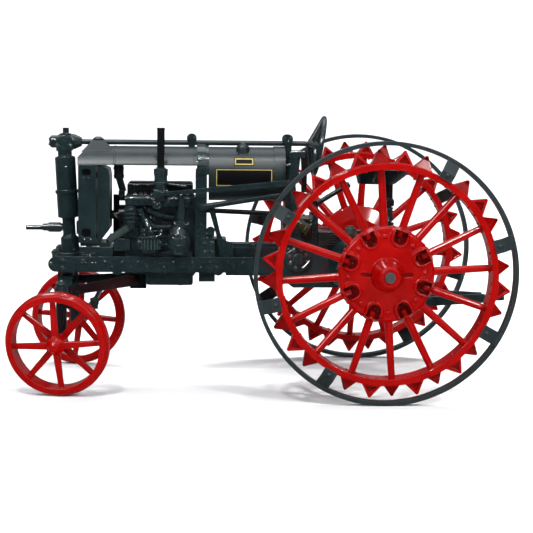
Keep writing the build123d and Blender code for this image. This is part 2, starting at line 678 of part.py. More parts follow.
with BuildPart() as steering_wheel:
    grip = 1.0
    upward = Vector(-sin(slope), 0, cos(slope))
    with BuildSketch(Plane(origin=wheel_middle, x_dir=(0, 1, 0), z_dir=upward)):
        with Locations((steering_radius - grip, 0)):
            RegularPolygon(grip, 8)
    revolve(axis=Axis(wheel_middle, wheel_axis))
    bar(bend - wheel_axis * hub_end, bend - wheel_axis * hub_start, 1.9)
    for spoke in range(4):
        angle = radians(90 * spoke)
        out = Vector(0, cos(angle), 0) + upward * sin(angle)
        bar(bend - wheel_axis * (hub_start + 0.9), wheel_middle + out * (steering_radius - grip), 1.4, 1.1)
    bar(bend - wheel_axis * (hub_end + 2), bend, shaft_radius + running_gap, mode=Mode.SUBTRACT)
save(steering_wheel.part, "steering_wheel")

# Engine: block between the rails, head and cover, with its open fittings on the left side
block_half = 7.8
with BuildPart() as engine_block:
    block((71.2, -block_half, block_bottom), (block_front, block_half, 74.9))
    block((72.6, -block_half - 2.0, rail_top), (94, block_half + 2.0, rail_top + 1.8))
save(engine_block.part, "engine_block")

with BuildPart() as valve_cover:
    block((72.4, -6.4, 74.9), (98.6, 6.4, 80.6))
    fillet(valve_cover.edges().group_by(Axis.Z)[-1], 1.4)
save(valve_cover.part, "valve_cover")

outlet_side = block_half + 2.9
with BuildPart() as water_outlet:
    block((88.8, block_half, 71.2), (99.0, block_half + 3.2, 75.0))
    fillet(water_outlet.edges().filter_by(Axis.X).group_by(Axis.Y)[-1], 1.2)
    upright(97.0, outlet_side, 62.4, 71.2, 2.1)
    for level in (64.6, 66.2, 67.8, 69.4):
        upright(97.0, outlet_side, level, level + 0.8, 2.8)
save(water_outlet.part, "water_outlet")

log_side = block_half + 2.8
riser_side = 12.9
with BuildPart() as manifold:
    rod((73.6, log_side, 73.2), (88.7, log_side, 73.2), 2.3)
    upright(85.1, riser_side, 73.6, 83.6, 2.55)
    upright(85.1, riser_side, 83.6, 86.2, 2.8)
    rod((86.5, log_side, 71.9), (86.5, riser_side + 1.2, 71.9), 1.4)
    for flange in (74.6, 79.4):
        rod((flange, log_side, 73.2), (flange + 1.2, log_side, 73.2), 2.7)
    for port in (75.2, 80.0, 84.6):
        block((port - 1.2, block_half, 71.8), (port + 1.2, log_side, 74.6))
save(manifold.part, "manifold")

with BuildPart() as exhaust:
    upright(85.1, riser_side, 86.2, 102.4, 1.5)
save(exhaust.part, "exhaust_pipe")

with BuildPart() as intake:
    for points, radius in ((((93.6, 70.0), (91.6, 65.4), (87.8, 62.7), (81.0, 62.8)), 1.2),
                           (((90.3, 70.0), (88.6, 68.8), (84.8, 67.3), (79.8, 66.5)), 1.05)):
        with BuildLine(left_of(block_half + 1.2)) as run:
            FilletPolyline(*points, radius=3.6)
        with BuildSketch(Plane(origin=run.line @ 0, z_dir=run.line % 0)):
            Circle(radius)
        sweep(path=run.line)
save(intake.part, "intake_pipes")

carb_side = 12.2
with BuildPart() as carburettor:
    bar(at(89.4, carb_side, 52.8), at(89.4, carb_side, 54.2), 2.8, 3.9)
    upright(89.4, carb_side, 54.2, 58.4, 3.9)
    upright(89.4, carb_side, 58.4, 59.4, 4.3)
    upright(89.4, carb_side, 59.4, 61.4, 2.3)
    rod((84.8, carb_side, 56.6), (94.0, carb_side, 56.6), 1.9)
save(carburettor.part, "carburettor")

cleaner_side = 14.4
with BuildPart() as air_cleaner:
    with BuildSketch(Plane(origin=at(77.8, cleaner_side, 0), x_dir=(1, 0, 0), z_dir=(0, -1, 0))):
        with BuildLine():
            Polyline((0, 52.2), (1.9, 52.3), (3.5, 53.6), (4.4, 55.8), (4.5, 58.2), (4.0, 60.6), (3.1, 62.6),
                     (2.4, 63.6), (0, 63.6), close=True)
        make_face()
    revolve(axis=Axis(at(77.8, cleaner_side, 0), (0, 0, 1)))
    upright(76.9, cleaner_side, 63.2, 65.5, 2.7)
    upright(76.9, cleaner_side, 65.5, 75.8, 1.45)
save(air_cleaner.part, "air_cleaner")

with BuildPart() as water_pipe:
    upright(rad_rear - 5.4, 7.0, rad_bottom, rad_bottom + 1.6, 1.6)
    rod((rad_rear - 5.4, 7.0, rad_bottom + 1.2), (block_front - 1.2, 9.5, 61.2), 1.3)
    block((block_front, -6, 44.6), (rad_rear - 6.6, 6, 57.0))
    block((block_front - 2, block_half, 53.2), (rad_rear - 7.0, 9.4, 57.8))
save(water_pipe.part, "water_pump_and_pipe")

with BuildPart() as oil_pan:
    block((72.2, -6.8, 39.1), (pan_front, 6.8, block_bottom))
    fillet(oil_pan.edges().group_by(Axis.Z)[0], 1.2)
    upright(77.5, 0, 38.4, 39.6, 1.0)
save(oil_pan.part, "oil_pan")

# Drive train behind the engine
with BuildPart() as clutch_housing:
    block((59.0, -7.7, rail_bottom), (71.2, 7.7, 58.0))
    block((63.4, -7.7, 40.6), (69.9, 7.7, rail_bottom))
    block((case_front, -6.0, 43.0), (59.0, 6.0, 56.0))
    chamfer(clutch_housing.edges().filter_by(Axis.X), 1.6)
save(clutch_housing.part, "clutch_housing")

housing_end = rear_track / 2 - hub_inner_depth - 0.3
with BuildPart() as gear_housing:
    with BuildSketch(side_view):
        with BuildLine():
            Polyline((case_front, 42.0), (case_front, housing_top), (24.2, housing_top), (22.4, 61.6),
                     (14.0, 60.4), (-2.0, 59.4), (-9.0, 56.0), (-10.0, 44.0), (-5.0, 39.0),
                     (32.0, 38.8), close=True)
        make_face()
    extrude(amount=case_side, both=True)
    chamfer(gear_housing.edges().group_by(SortBy.LENGTH)[-1], 1.0)
    rod((0, -case_side - 1, axle_level), (0, case_side + 1, axle_level), axle_radius, Mode.SUBTRACT)
    # Joint flange between the gear case and the rear frame, side covers and the round shifter boss
    block((22.4, -case_side - 0.6, 57.0), (24.6, case_side + 0.6, housing_top + 1.4))
    for side, way in SIDES:
        rod((30.2, way * case_side, 50.4), (30.2, way * (case_side + 1.2), 50.4), 4.9)
        rod((30.2, way * case_side, 50.4), (30.2, way * (case_side + 2.0), 50.4), 2.2)
        rod((29.2, way * case_side, 62.6), (29.2, way * (case_side + 1.4), 62.6), 2.9)
save(gear_housing.part, "gear_housing")

with BuildPart() as filler_cap:
    upright(8.9, 5.0, 60.2, 62.6, 2.1)
    upright(8.9, 5.0, 62.6, 63.4, 1.3)
save(filler_cap.part, "filler_cap")

for side, way in SIDES:
    with BuildPart() as axle_housing:
        start = Plane(origin=at(0, way * case_side, axle_level), x_dir=(1, 0, 0), z_dir=(0, way, 0))
        with BuildSketch(start):
            with Locations((5.0, 0)):
                RectangleRounded(26, 19, 4)
        with BuildSketch(start.offset(16)):
            with Locations((1.0, 0)):
                RectangleRounded(14, 13, 4)
        loft()
        bar(start.origin + start.z_dir * 16, start.origin + start.z_dir * (housing_end - case_side), 6.2, 5.2)
        bar(start.origin - start.z_dir, start.origin + start.z_dir * housing_end, axle_radius,
            mode=Mode.SUBTRACT)
    save(axle_housing.part, f"axle_housing_{side}")

# Levers and rods on the left side
with BuildPart() as gear_lever:
    upright(23.4, 4.5, housing_top + 1.4, 73.6, 1.5)
    lever_foot = at(23.4, 4.5, 71.8)
    lever_line = Vector(-11.8, 0, 7.2).normalized()
    bar(lever_foot, lever_foot + lever_line * 14.0, 1.0)
    bar(lever_foot + lever_line * 13.4, lever_foot + lever_line * 15.2, 1.2, 1.7)
    bar(lever_foot + lever_line * 15.2, lever_foot + lever_line * 16.4, 1.7, 0.9)
save(gear_lever.part, "gear_lever")

# Hand levers at the rear bracket: a flat lever with its grip block, and a quadrant behind it
lever_side = case_side + 3.6
lever_thick = 1.6
with BuildPart() as throttle_lever:
    with BuildSketch(left_of(lever_side)):
        with BuildLine():
            Polyline((33.8, 91.4), (30.0, 91.4), (30.6, 85.6), (31.8, 80.0), (30.6, 70.0), (29.2, 57.6),
                     (31.6, 57.6), (34.4, 80.0), (34.2, 86.0), close=True)
        make_face()
    extrude(amount=lever_thick / 2, both=True)
    rod((30.4, case_side, 57.6), (30.4, lever_side + lever_thick / 2, 57.6), 2.0)
    block((28.2, lever_side - 1.6, 91.2), (34.2, lever_side + 1.6, 94.0))
    fillet(throttle_lever.edges().group_by(Axis.Z)[-1], 1.1)
save(throttle_lever.part, "throttle_lever")

with BuildPart() as quadrant:
    with BuildSketch(left_of(3.0)):
        with BuildLine():
            Polyline((29.4, 93.6), (27.0, 93.6), (26.4, 87.0), (26.8, 76.0), (28.8, 76.0), (28.9, 87.0),
                     close=True)
        make_face()
    extrude(amount=0.8, both=True)
    rod((28.4, 3.0, 84.0), (bracket_rear, 3.0, 84.0), 0.9)
save(quadrant.part, "lever_quadrant")

rod_side = lever_side + lever_thick / 2 + 0.9
with BuildPart() as throttle_rod:
    with BuildSketch(left_of(rod_side)):
        with BuildLine():
            Polyline((86.4, 75.6), (86.4, 77.0), (34.0, 82.4), (33.2, 81.2), (34.0, 80.0), close=True)
        make_face()
    extrude(amount=0.6, both=True)
    for x, level, size in ((86.4, 76.3, 1.6), (33.8, 81.2, 1.25)):
        rod((x, rod_side - 0.8, level), (x, rod_side + 0.8, level), size)
save(throttle_rod.part, "throttle_rod")

rod_level = 76.6
brake_side = case_side + 0.9
arm_side = 8.9
with BuildPart() as brake_rods:
    bar(at(68.4, brake_side, 71.2), at(34.1, brake_side, rod_level), 1.2, 0.95)
    rod((34.1, 6.5, rod_level), (34.1, brake_side, rod_level), 1.2)
    rod((68.4, 10.8, 71.2), (68.4, brake_side + 1.0, 71.2), 1.5)
    with BuildSketch(left_of(arm_side)):
        with BuildLine():
            Polyline((66.4, 70.8), (63.8, 70.8), (61.3, 60.4), (60.4, 58.4), (58.4, 57.2), (56.2, 56.6),
                     (56.2, rail_top), (60.8, rail_top), (62.3, 56.0), (63.2, 60.4), (65.8, 69.2), close=True)
        make_face()
    extrude(amount=0.9, both=True)
save(brake_rods.part, "brake_rods")

with BuildPart() as clutch_rod:
    rod((71.1, 4.6, 69.5), (tank_rear + 0.1, 4.6, 68.0), 1.0)
save(clutch_rod.part, "clutch_rod")

# Seat on its spring post
seat_level = 80.3
with BuildPart() as seat:
    for grow, lift, mode in ((0.0, 0.0, Mode.ADD), (-0.9, 0.9, Mode.SUBTRACT)):
        with BuildSketch(plan_view.offset(seat_level + lift)):
            with Locations((-1.9, 0)):
                Ellipse(7.6 + grow, 6.0 + grow)
        with BuildSketch(plan_view.offset(seat_level + 5.8 + lift)):
            with Locations((-5.0, 0)):
                Ellipse(12.0 + grow, 9.8 + grow)
        loft(mode=mode)
save(seat.part, "seat")

with BuildPart() as seat_spring:
    with BuildSketch(post := Plane(origin=at(-7.0, 0, 0), x_dir=(1, 0, 0), z_dir=(0, -1, 0))):
        with BuildLine():
            Polyline((0, 63.1), (2.4, 63.1), (2.4, 64.8), (1.2, 64.8), (1.9, 65.6), (1.2, 66.4), (1.9, 67.2),
                     (1.2, 68.0), (1.9, 68.8), (1.2, 69.6), (1.9, 70.4), (1.2, 71.2), (2.2, 72.2),
                     (2.4, seat_level), (0, seat_level), close=True)
        make_face()
    revolve(axis=Axis(post.origin, (0, 0, 1)))
save(seat_spring.part, "seat_spring")

with BuildPart() as seat_bar:
    with BuildSketch(side_view):
        with BuildLine():
            Polyline((6.0, 59.9), (6.0, 61.4), (2.0, 61.8), (-4.0, 63.1), (-10.0, 63.1), (-10.0, 61.6),
                     (-2.0, 59.4), close=True)
        make_face()
    extrude(amount=3.0, both=True)
save(seat_bar.part, "seat_bar")

# Drawbar: two arms from under the case that meet in a plate with the hitch hole
hitch_radius = 1.3
hitch_thick = 1.8
hitch_x = -drawbar_tip + 3.2
drawbar_level = 34.0
with BuildPart() as drawbar:
    for side, way in SIDES:
        with BuildLine(plan_view.offset(drawbar_level)) as arm_line:
            Line((-16.0, way * 17.0), (hitch_x + 6.0, way * 2.4))
        with BuildSketch(Plane(origin=arm_line.line @ 0, x_dir=(0, 0, 1), z_dir=arm_line.line % 0)):
            Rectangle(3.6, 1.8)
        sweep(path=arm_line.line)
        block((-17.0, min(way * 15.2, way * 18.2), 32.0), (-12.0, max(way * 15.2, way * 18.2), 40.7))
        block((-12.0, min(way * 15.2, way * 18.2), 38.2), (2.0, max(way * 15.2, way * 18.2), 40.7))
    with BuildSketch(plan_view.offset(drawbar_level - hitch_thick / 2)):
        with Locations((hitch_x + 3.2, 0)):
            SlotOverall(12.8, 6.4)
    extrude(amount=hitch_thick)
    upright(hitch_x, 0, drawbar_level - hitch_thick, drawbar_level + hitch_thick, hitch_radius, Mode.SUBTRACT)
save(drawbar.part, "drawbar")

# Hand crank in the pedestal's foot
with BuildPart() as crank:
    crank_level = 61.8
    grip_level = 60.9
    crank_root = wheelbase + 2.35
    crank_reach = 15.6
    rod((crank_root, 0, crank_level), (crank_root + 7.9, 0, crank_level), 1.5)
    rod((crank_root + 0.5, 0, crank_level), (crank_root + 5.6, 0, crank_level), 2.0)
    rod((crank_root + 7.1, 1.0, crank_level), (crank_root + 7.1, -9.8, grip_level), 1.15)
    rod((crank_root + 6.1, -9.0, grip_level), (crank_root + crank_reach, -9.0, grip_level), 1.0)
save(crank.part, "hand_crank")
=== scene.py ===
# Looks of the die-cast tractor model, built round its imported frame.
import json
from math import asin, cos, pi, radians, sin, tau

import bmesh
import bpy
from mathutils import Matrix, Vector


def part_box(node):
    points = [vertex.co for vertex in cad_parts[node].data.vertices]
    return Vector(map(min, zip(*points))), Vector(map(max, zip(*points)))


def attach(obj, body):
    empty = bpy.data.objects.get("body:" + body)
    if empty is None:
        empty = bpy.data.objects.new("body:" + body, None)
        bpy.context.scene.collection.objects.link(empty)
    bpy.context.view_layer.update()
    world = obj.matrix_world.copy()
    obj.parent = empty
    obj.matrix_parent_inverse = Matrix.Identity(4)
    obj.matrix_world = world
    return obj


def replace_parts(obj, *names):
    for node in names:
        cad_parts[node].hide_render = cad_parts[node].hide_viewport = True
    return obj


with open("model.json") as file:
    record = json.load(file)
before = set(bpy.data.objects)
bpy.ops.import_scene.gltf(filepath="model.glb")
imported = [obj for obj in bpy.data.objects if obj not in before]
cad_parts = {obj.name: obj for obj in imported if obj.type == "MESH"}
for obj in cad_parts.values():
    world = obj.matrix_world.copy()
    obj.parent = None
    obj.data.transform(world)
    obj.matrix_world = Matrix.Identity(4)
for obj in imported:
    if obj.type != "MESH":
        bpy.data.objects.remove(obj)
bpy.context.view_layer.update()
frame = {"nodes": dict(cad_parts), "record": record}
cad_nodes = frame["nodes"]

# Viewpoint: the photograph's place on the model's left side, a little above the fuel tank, through a
# long lens. Places in this file are millimetres from the floor under the rear axle, with x ahead,
# y to the left and z up.
axle_low, axle_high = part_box("rear_axle")
rear_axle_x = (axle_low.x + axle_high.x) / 2


def at(x, y, z):
    """A place on the model, in metres."""
    return Vector((rear_axle_x + x / 1000, y / 1000, z / 1000))


yaw, pitch, roll = -0.043, 0.105, 0.010
ahead = Vector((sin(yaw) * cos(pitch), -cos(yaw) * cos(pitch), -sin(pitch)))
level_right = Vector((-cos(yaw), -sin(yaw), 0.0))
level_up = level_right.cross(ahead)
picture_right = cos(roll) * level_right + sin(roll) * level_up
picture_up = cos(roll) * level_up - sin(roll) * level_right

focal_pixels, picture_pixels = 1600.0, 533.0
lens_data = bpy.data.cameras.new("viewpoint")
lens_data.sensor_width = 36.0
lens_data.lens = focal_pixels / picture_pixels * lens_data.sensor_width
lens_data.clip_start, lens_data.clip_end = 0.01, 20.0
viewpoint = bpy.data.objects.new("viewpoint", lens_data)
viewpoint.matrix_world = Matrix.Translation(at(70.196, 646.804, 114.485)) @ Matrix(
    (picture_right, picture_up, -ahead)).transposed().to_4x4()
bpy.context.scene.collection.objects.link(viewpoint)
bpy.context.scene.camera = viewpoint

# Table and backdrop: one shallow dish of matt white card, its rim curved up all round so that no
# edge shows. It lights the model but doesn't mirror in the enamel, as if the card ended just outside
# the picture and the room beyond were dark.
view_settings = bpy.context.scene.view_settings
view_settings.view_transform = "Standard"
view_settings.look = "None"


def new_finish(name, colour, roughness):
    """A material with its shader, before any nodes of its own."""
    material = bpy.data.materials.new(name)
    material.use_nodes = True
    shader = material.node_tree.nodes["Principled BSDF"]
    shader.inputs["Base Color"].default_value = (*colour, 1.0)
    shader.inputs["Roughness"].default_value = roughness
    return material, shader


card, card_shader = new_finish("white_card", (0.86, 0.86, 0.87), 0.6)
card_shader.inputs["Specular IOR Level"].default_value = 0.1
floor_radius, bend_radius, rim_height = 2.2, 0.8, 1.3
bend_steps, round_steps = 12, 96
card_profile = [(0.02, 0.0), (0.6, 0.0), (floor_radius, 0.0)]
for step in range(1, bend_steps + 1):
    angle = step / bend_steps * pi / 2
    card_profile.append((floor_radius + bend_radius * sin(angle), bend_radius * (1 - cos(angle))))
card_profile.append((floor_radius + bend_radius, rim_height))

dish = bmesh.new()
hoops = [[dish.verts.new((radius * cos(tau * s / round_steps), radius * sin(tau * s / round_steps), height))
          for s in range(round_steps)] for radius, height in card_profile]
for inner_hoop, outer_hoop in zip(hoops, hoops[1:]):
    for s in range(round_steps):
        t = (s + 1) % round_steps
        dish.faces.new((inner_hoop[s], outer_hoop[s], outer_hoop[t], inner_hoop[t]))
dish.faces.new(hoops[0])
dish_data = bpy.data.meshes.new("card_sweep")
dish.to_mesh(dish_data)
dish.free()
dish_data.shade_smooth()
dish_data.materials.append(card)
card_sweep = bpy.data.objects.new("card_sweep", dish_data)
bpy.context.scene.collection.objects.link(card_sweep)
card_sweep.visible_glossy = False

# Light: a pale tent overhead and behind the model, dark on the photographer's side, with soft boxes
# that draw broad bands on hood and tank, and three small lamps that put the sparks on the rivets.
# Two more light only the card.
tent = bpy.data.worlds.new("tent")
tent.use_nodes = True
tent_nodes, tent_links = tent.node_tree.nodes, tent.node_tree.links
tent_cloth = tent_nodes["Background"]
tent_cloth.inputs["Color"].default_value = (0.93, 0.96, 1.0, 1.0)
towards = tent_nodes.new("ShaderNodeSeparateXYZ")
tent_links.new(tent_nodes.new("ShaderNodeTexCoord").outputs["Generated"], towards.inputs[0])
brighter = tent_nodes.new("ShaderNodeMath")
brighter.operation = "MAXIMUM"
TENT_FADES = (
    # axis, where it starts, where it ends, dim side, bright side
    ("Z", 0.30, 0.75, 0.02, 0.46),
    ("Y", 0.0, -0.6, 0.02, 0.22),
)
for socket, (axis, start, end, dim, bright) in zip(brighter.inputs, TENT_FADES):
    fade = tent_nodes.new("ShaderNodeMapRange")
    fade.inputs["From Min"].default_value, fade.inputs["From Max"].default_value = start, end
    fade.inputs["To Min"].default_value, fade.inputs["To Max"].default_value = dim, bright
    tent_links.new(towards.outputs[axis], fade.inputs["Value"])
    tent_links.new(fade.outputs["Result"], socket)
tent_links.new(brighter.outputs[0], tent_cloth.inputs["Strength"])
bpy.context.scene.world = tent

model_middle = (0, 0, 0.04)
LAMPS = (
    # name, place, width and height (m), watts, colour, what it points at, whether enamel mirrors it
    ("back_box", (-0.42, -0.62, 0.95), (0.25, 0.25), 7.0, (1.0, 0.99, 0.97), model_middle, False),
    ("top_box", (0.05, -0.40, 1.10), (1.2, 0.6), 3.4, (0.97, 0.99, 1.0), model_middle, True),
    ("front_box", (0.75, 0.95, 0.75), (0.3, 0.3), 4.0, (0.97, 0.99, 1.0), model_middle, True),
    ("spark_left", (0.22, 0.62, 0.78), (0.05, 0.05), 4.0, (1.0, 1.0, 1.0), model_middle, True),
    ("spark_right", (-0.42, 0.70, 0.52), (0.05, 0.05), 4.0, (1.0, 1.0, 1.0), model_middle, True),
    ("spark_high", (-0.05, 0.42, 1.05), (0.06, 0.06), 2.2, (1.0, 1.0, 1.0), model_middle, True),
    ("sweep_box", (0.0, -1.1, 2.2), (3.0, 0.8), 75.0, (1.0, 1.0, 1.0), (0, -2.4, 0.5), False),
    ("rim_box", (0.0, 1.0, 1.5), (3.0, 0.5), 22.0, (1.0, 1.0, 1.0), (0, 3.2, 1.2), False),
)
for name, place, (width, height), watts, colour, aim, mirrored in LAMPS:
    lamp = bpy.data.lights.new(name, "AREA")
    lamp.shape = "RECTANGLE"
    lamp.size, lamp.size_y, lamp.energy, lamp.color = width, height, watts, colour
    box = bpy.data.objects.new(name, lamp)
    box.location = place
    box.rotation_euler = (Vector(aim) - Vector(place)).to_track_quat("-Z", "Y").to_euler()
    box.visible_glossy, box.visible_camera = mirrored, False
    bpy.context.scene.collection.objects.link(box)

# Paint on every casting: gloss enamel sprayed over rough zinc. It rounds each edge, paints a highlight
# on the edges in patches of a lighter colour, clouds a little in tone and gloss, and has a fine orange peel.
# Hood, tanks and the long shaft are smooth sheet and tube, in the same green but less glossy.
MM = 0.001


def enamel(name, colour, roughness, highlight_colour, cloud=0.25, ripple=0.5, rounding=0.22, shine=0.35, metal=0.0):
    """Paint with the colour of its painted edge highlight, cloudiness, orange peel, edge radius in millimetres and
    gloss.
    """
    material, shader = new_finish(name, colour, roughness)
    shader.inputs["Specular IOR Level"].default_value = shine
    shader.inputs["Metallic"].default_value = metal
    nodes, links = material.node_tree.nodes, material.node_tree.links
    place = nodes.new("ShaderNodeTexCoord").outputs["Object"]

    peel = nodes.new("ShaderNodeTexNoise")
    patch = nodes.new("ShaderNodeTexNoise")
    for noise, scale, detail in ((peel, 900.0, 3.0), (patch, 110.0, 4.0)):
        noise.inputs["Scale"].default_value = scale
        noise.inputs["Detail"].default_value = detail
        links.new(place, noise.inputs["Vector"])

    # How far the rounded edge turns away from the flat says where the painted highlight lies, in patches
    soft_edge = nodes.new("ShaderNodeBevel")
    soft_edge.samples = 6
    soft_edge.inputs["Radius"].default_value = rounding * MM
    facing = nodes.new("ShaderNodeVectorMath")
    facing.operation = "DOT_PRODUCT"
    links.new(soft_edge.outputs["Normal"], facing.inputs[0])
    links.new(nodes.new("ShaderNodeNewGeometry").outputs["Normal"], facing.inputs[1])
    edge = nodes.new("ShaderNodeMapRange")
    edge.inputs["From Min"].default_value, edge.inputs["From Max"].default_value = 0.995, 0.86
    links.new(facing.outputs["Value"], edge.inputs["Value"])
    painted_highlight_mask = nodes.new("ShaderNodeMath")
    painted_highlight_mask.operation = "MULTIPLY"
    links.new(edge.outputs["Result"], painted_highlight_mask.inputs[0])
    links.new(patch.outputs["Fac"], painted_highlight_mask.inputs[1])

    tone = nodes.new("ShaderNodeMapRange")
    tone.inputs["From Min"].default_value, tone.inputs["From Max"].default_value = 0.3, 0.7
    tone.inputs["To Min"].default_value, tone.inputs["To Max"].default_value = 1.0 - cloud, 1.0 + cloud
    links.new(patch.outputs["Fac"], tone.inputs["Value"])
    coat = nodes.new("ShaderNodeVectorMath")
    coat.operation = "SCALE"
    coat.inputs[0].default_value = colour
    links.new(tone.outputs["Result"], coat.inputs["Scale"])
    # Painted highlight: the lighter edge colour is mixed over the coat where the edge mask is high
    blend = nodes.new("ShaderNodeMix")
    blend.data_type = "RGBA"
    coat_socket, highlight_socket, blended = blend.inputs[6], blend.inputs[7], blend.outputs[2]
    links.new(painted_highlight_mask.outputs[0], blend.inputs["Factor"])
    links.new(coat.outputs[0], coat_socket)
    highlight_socket.default_value = (*highlight_colour, 1.0)
    links.new(blended, shader.inputs["Base Color"])

    gloss = nodes.new("ShaderNodeMapRange")
    gloss.inputs["To Min"].default_value = max(roughness - 0.04, 0.05)
    gloss.inputs["To Max"].default_value = roughness + 0.05
    links.new(patch.outputs["Fac"], gloss.inputs["Value"])
    links.new(gloss.outputs["Result"], shader.inputs["Roughness"])

    orange_peel = nodes.new("ShaderNodeBump")
    orange_peel.inputs["Strength"].default_value = ripple
    orange_peel.inputs["Distance"].default_value = 0.02 * MM
    links.new(peel.outputs["Fac"], orange_peel.inputs["Height"])
    links.new(soft_edge.outputs["Normal"], orange_peel.inputs["Normal"])
    links.new(orange_peel.outputs["Normal"], shader.inputs["Normal"])
    return material


# Each paint's third colour is the lighter colour of its painted edge highlight.
PAINTS = {
    "body_green": enamel("body_green_enamel", (0.0080, 0.0165, 0.0182), 0.15, (0.028, 0.048, 0.044),
                         ripple=0.35, rounding=0.3, shine=0.95),
    "wheel_red": enamel("wheel_red_enamel", (0.255, 0.0005, 0.0002), 0.13, (0.40, 0.004, 0.002),
                        cloud=0.12, ripple=0.3, rounding=0.45, shine=0.6),
    "band_slate": enamel("band_slate_enamel", (0.015, 0.022, 0.024), 0.36, (0.040, 0.054, 0.056),
                         cloud=0.15, ripple=0.8, shine=0.35),
    "trim_black": enamel("trim_black_enamel", (0.0025, 0.0042, 0.0046), 0.18, (0.018, 0.026, 0.026),
                         shine=0.8),
    "axle_steel": enamel("axle_dark_steel", (0.075, 0.085, 0.085), 0.42, (0.20, 0.21, 0.20), cloud=0.35,
                         metal=0.6),
}
for row in frame["record"]["subparts"]:
    casting = cad_nodes[row["node"]].data
    casting.materials.clear()
    casting.materials.append(PAINTS[row["material_slot"]])

sheet_green = enamel("sheet_green_enamel", (0.0080, 0.0165, 0.0182), 0.36, (0.028, 0.048, 0.044),
                     ripple=0.3, rounding=0.3, shine=0.6)
for node in ("hood", "fuel_tank", "radiator_top_tank", "steering_shaft"):
    cad_nodes[node].data.materials[0] = sheet_green

# Side rails: two pressed channels with two staggered rows of rivets, whose heads are rubbed bright.
# Four hexagon bolts on each side hold the cast bolster between the rails.
SIDES = (("left", 1), ("right", -1))


def seated(origin, outward, across=None):
    """A seat for a part, in millimetres, with z outward and x as near across as it can be."""
    outward = Vector(outward).normalized()
    if across is None:
        across = (1, 0, 0) if abs(outward.x) < 0.9 else (0, 0, 1)
    along_y = outward.cross(Vector(across)).normalized()
    turn = Matrix((along_y.cross(outward), along_y, outward)).transposed().to_4x4()
    return Matrix.Translation(origin) @ turn @ Matrix.Scale(MM, 4)


def turned_part(mesh, seat, profile, steps=16):
    """Turn points of (radius, height) round the seat's z; a radius of 0 closes an end."""
    rings = []
    for radius, height in profile:
        if radius == 0:
            rings.append([mesh.verts.new(seat @ Vector((0, 0, height)))])
        else:
            rings.append([mesh.verts.new(seat @ Vector((radius * cos(tau * s / steps),
                                                        radius * sin(tau * s / steps), height)))
                          for s in range(steps)])
    for low, high in zip(rings, rings[1:]):
        for s in range(steps):
            t = (s + 1) % steps
            corners = [low[s % len(low)], low[t % len(low)], high[t % len(high)], high[s % len(high)]]
            mesh.faces.new(list(dict.fromkeys(corners)))


def rivet_head(mesh, seat, radius, height=0.5, steps=12):
    """A domed head on a short straight foot."""
    foot_share = 0.15
    profile = [(radius, -foot_share), (radius, foot_share * height)]
    profile += [(radius * cos(a), height * (foot_share + (1 - foot_share) * sin(a))) for a in (0.4, 0.8, 1.2)]
    turned_part(mesh, seat, profile + [(0, height)], steps)


def cut_plate(mesh, seat, outline, low, high):
    """A flat piece cut to an outline in the seat's x and y, between two heights."""
    layers = [[mesh.verts.new(seat @ Vector((x, y, z))) for x, y in outline] for z in (low, high)]
    count = len(outline)
    for s in range(count):
        t = (s + 1) % count
        mesh.faces.new((layers[0][s], layers[0][t], layers[1][t], layers[1][s]))
    mesh.faces.new(list(reversed(layers[0])))
    mesh.faces.new(layers[1])


def hex_bolt(mesh, seat, radius, height):
    """A bolt head on its washer."""
    turned_part(mesh, seat, [(radius * 1.25, -0.1), (radius * 1.25, 0.12), (0, 0.12)])
    cut_plate(mesh, seat, [(radius * cos(tau * s / 6), radius * sin(tau * s / 6)) for s in range(6)], 0.1, height)


def fit(name, mesh, body, slot, paint=None, bevel=0.0):
    """Finish a mesh as one painted part that rides on a body; bevel is in millimetres."""
    bevelled_angle, sharp_angle = 0.6, radians(38)
    bmesh.ops.recalc_face_normals(mesh, faces=mesh.faces)
    if bevel:
        corners = [e for e in mesh.edges if e.is_manifold and e.calc_face_angle(0) > bevelled_angle]
        bmesh.ops.bevel(mesh, geom=corners, offset=bevel * MM, segments=2, profile=0.6, affect="EDGES",
                        clamp_overlap=True)
    data = bpy.data.meshes.new(name)
    mesh.to_mesh(data)
    mesh.free()
    data.shade_smooth()
    data.set_sharp_from_angle(angle=sharp_angle)
    data.materials.append(paint or PAINTS[slot])
    part = bpy.data.objects.new(name, data)
    bpy.context.scene.collection.objects.link(part)
    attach(part, body)
    return part


# The heads' much lighter edge colour is a painted highlight.
rubbed_paint = enamel("rubbed_heads", (0.13, 0.18, 0.165), 0.24, (0.42, 0.50, 0.46), cloud=0.3, ripple=0.2,
                      rounding=0.1, metal=0.9)
rail_side = 11.0
RAIL_RIVETS = (
    # height of the row, places along the rail
    (48.9, (107.2, 100.5, 94.1, 87.3, 80.0, 72.6, 65.4, 58.2, 52.3)),
    (46.9, (104.4, 97.0, 90.5, 83.8, 76.2, 69.0, 62.6, 55.8)),
)
BOLSTER_BOLTS = ((128.6, 48.0), (124.0, 49.4), (124.0, 46.2), (116.0, 49.3))
for side, way in SIDES:
    out = (0, way, 0)
    heads = bmesh.new()
    for level, row in RAIL_RIVETS:
        for x in row:
            rivet_head(heads, seated(at(x, way * rail_side, level), out), 0.55, 0.4, 10)
    for x, z in BOLSTER_BOLTS:
        hex_bolt(heads, seated(at(x, way * rail_side, z), out), 0.7, 0.5)
    fit(f"rail_rivets_{side}", heads, "chassis", "body_green", rubbed_paint)


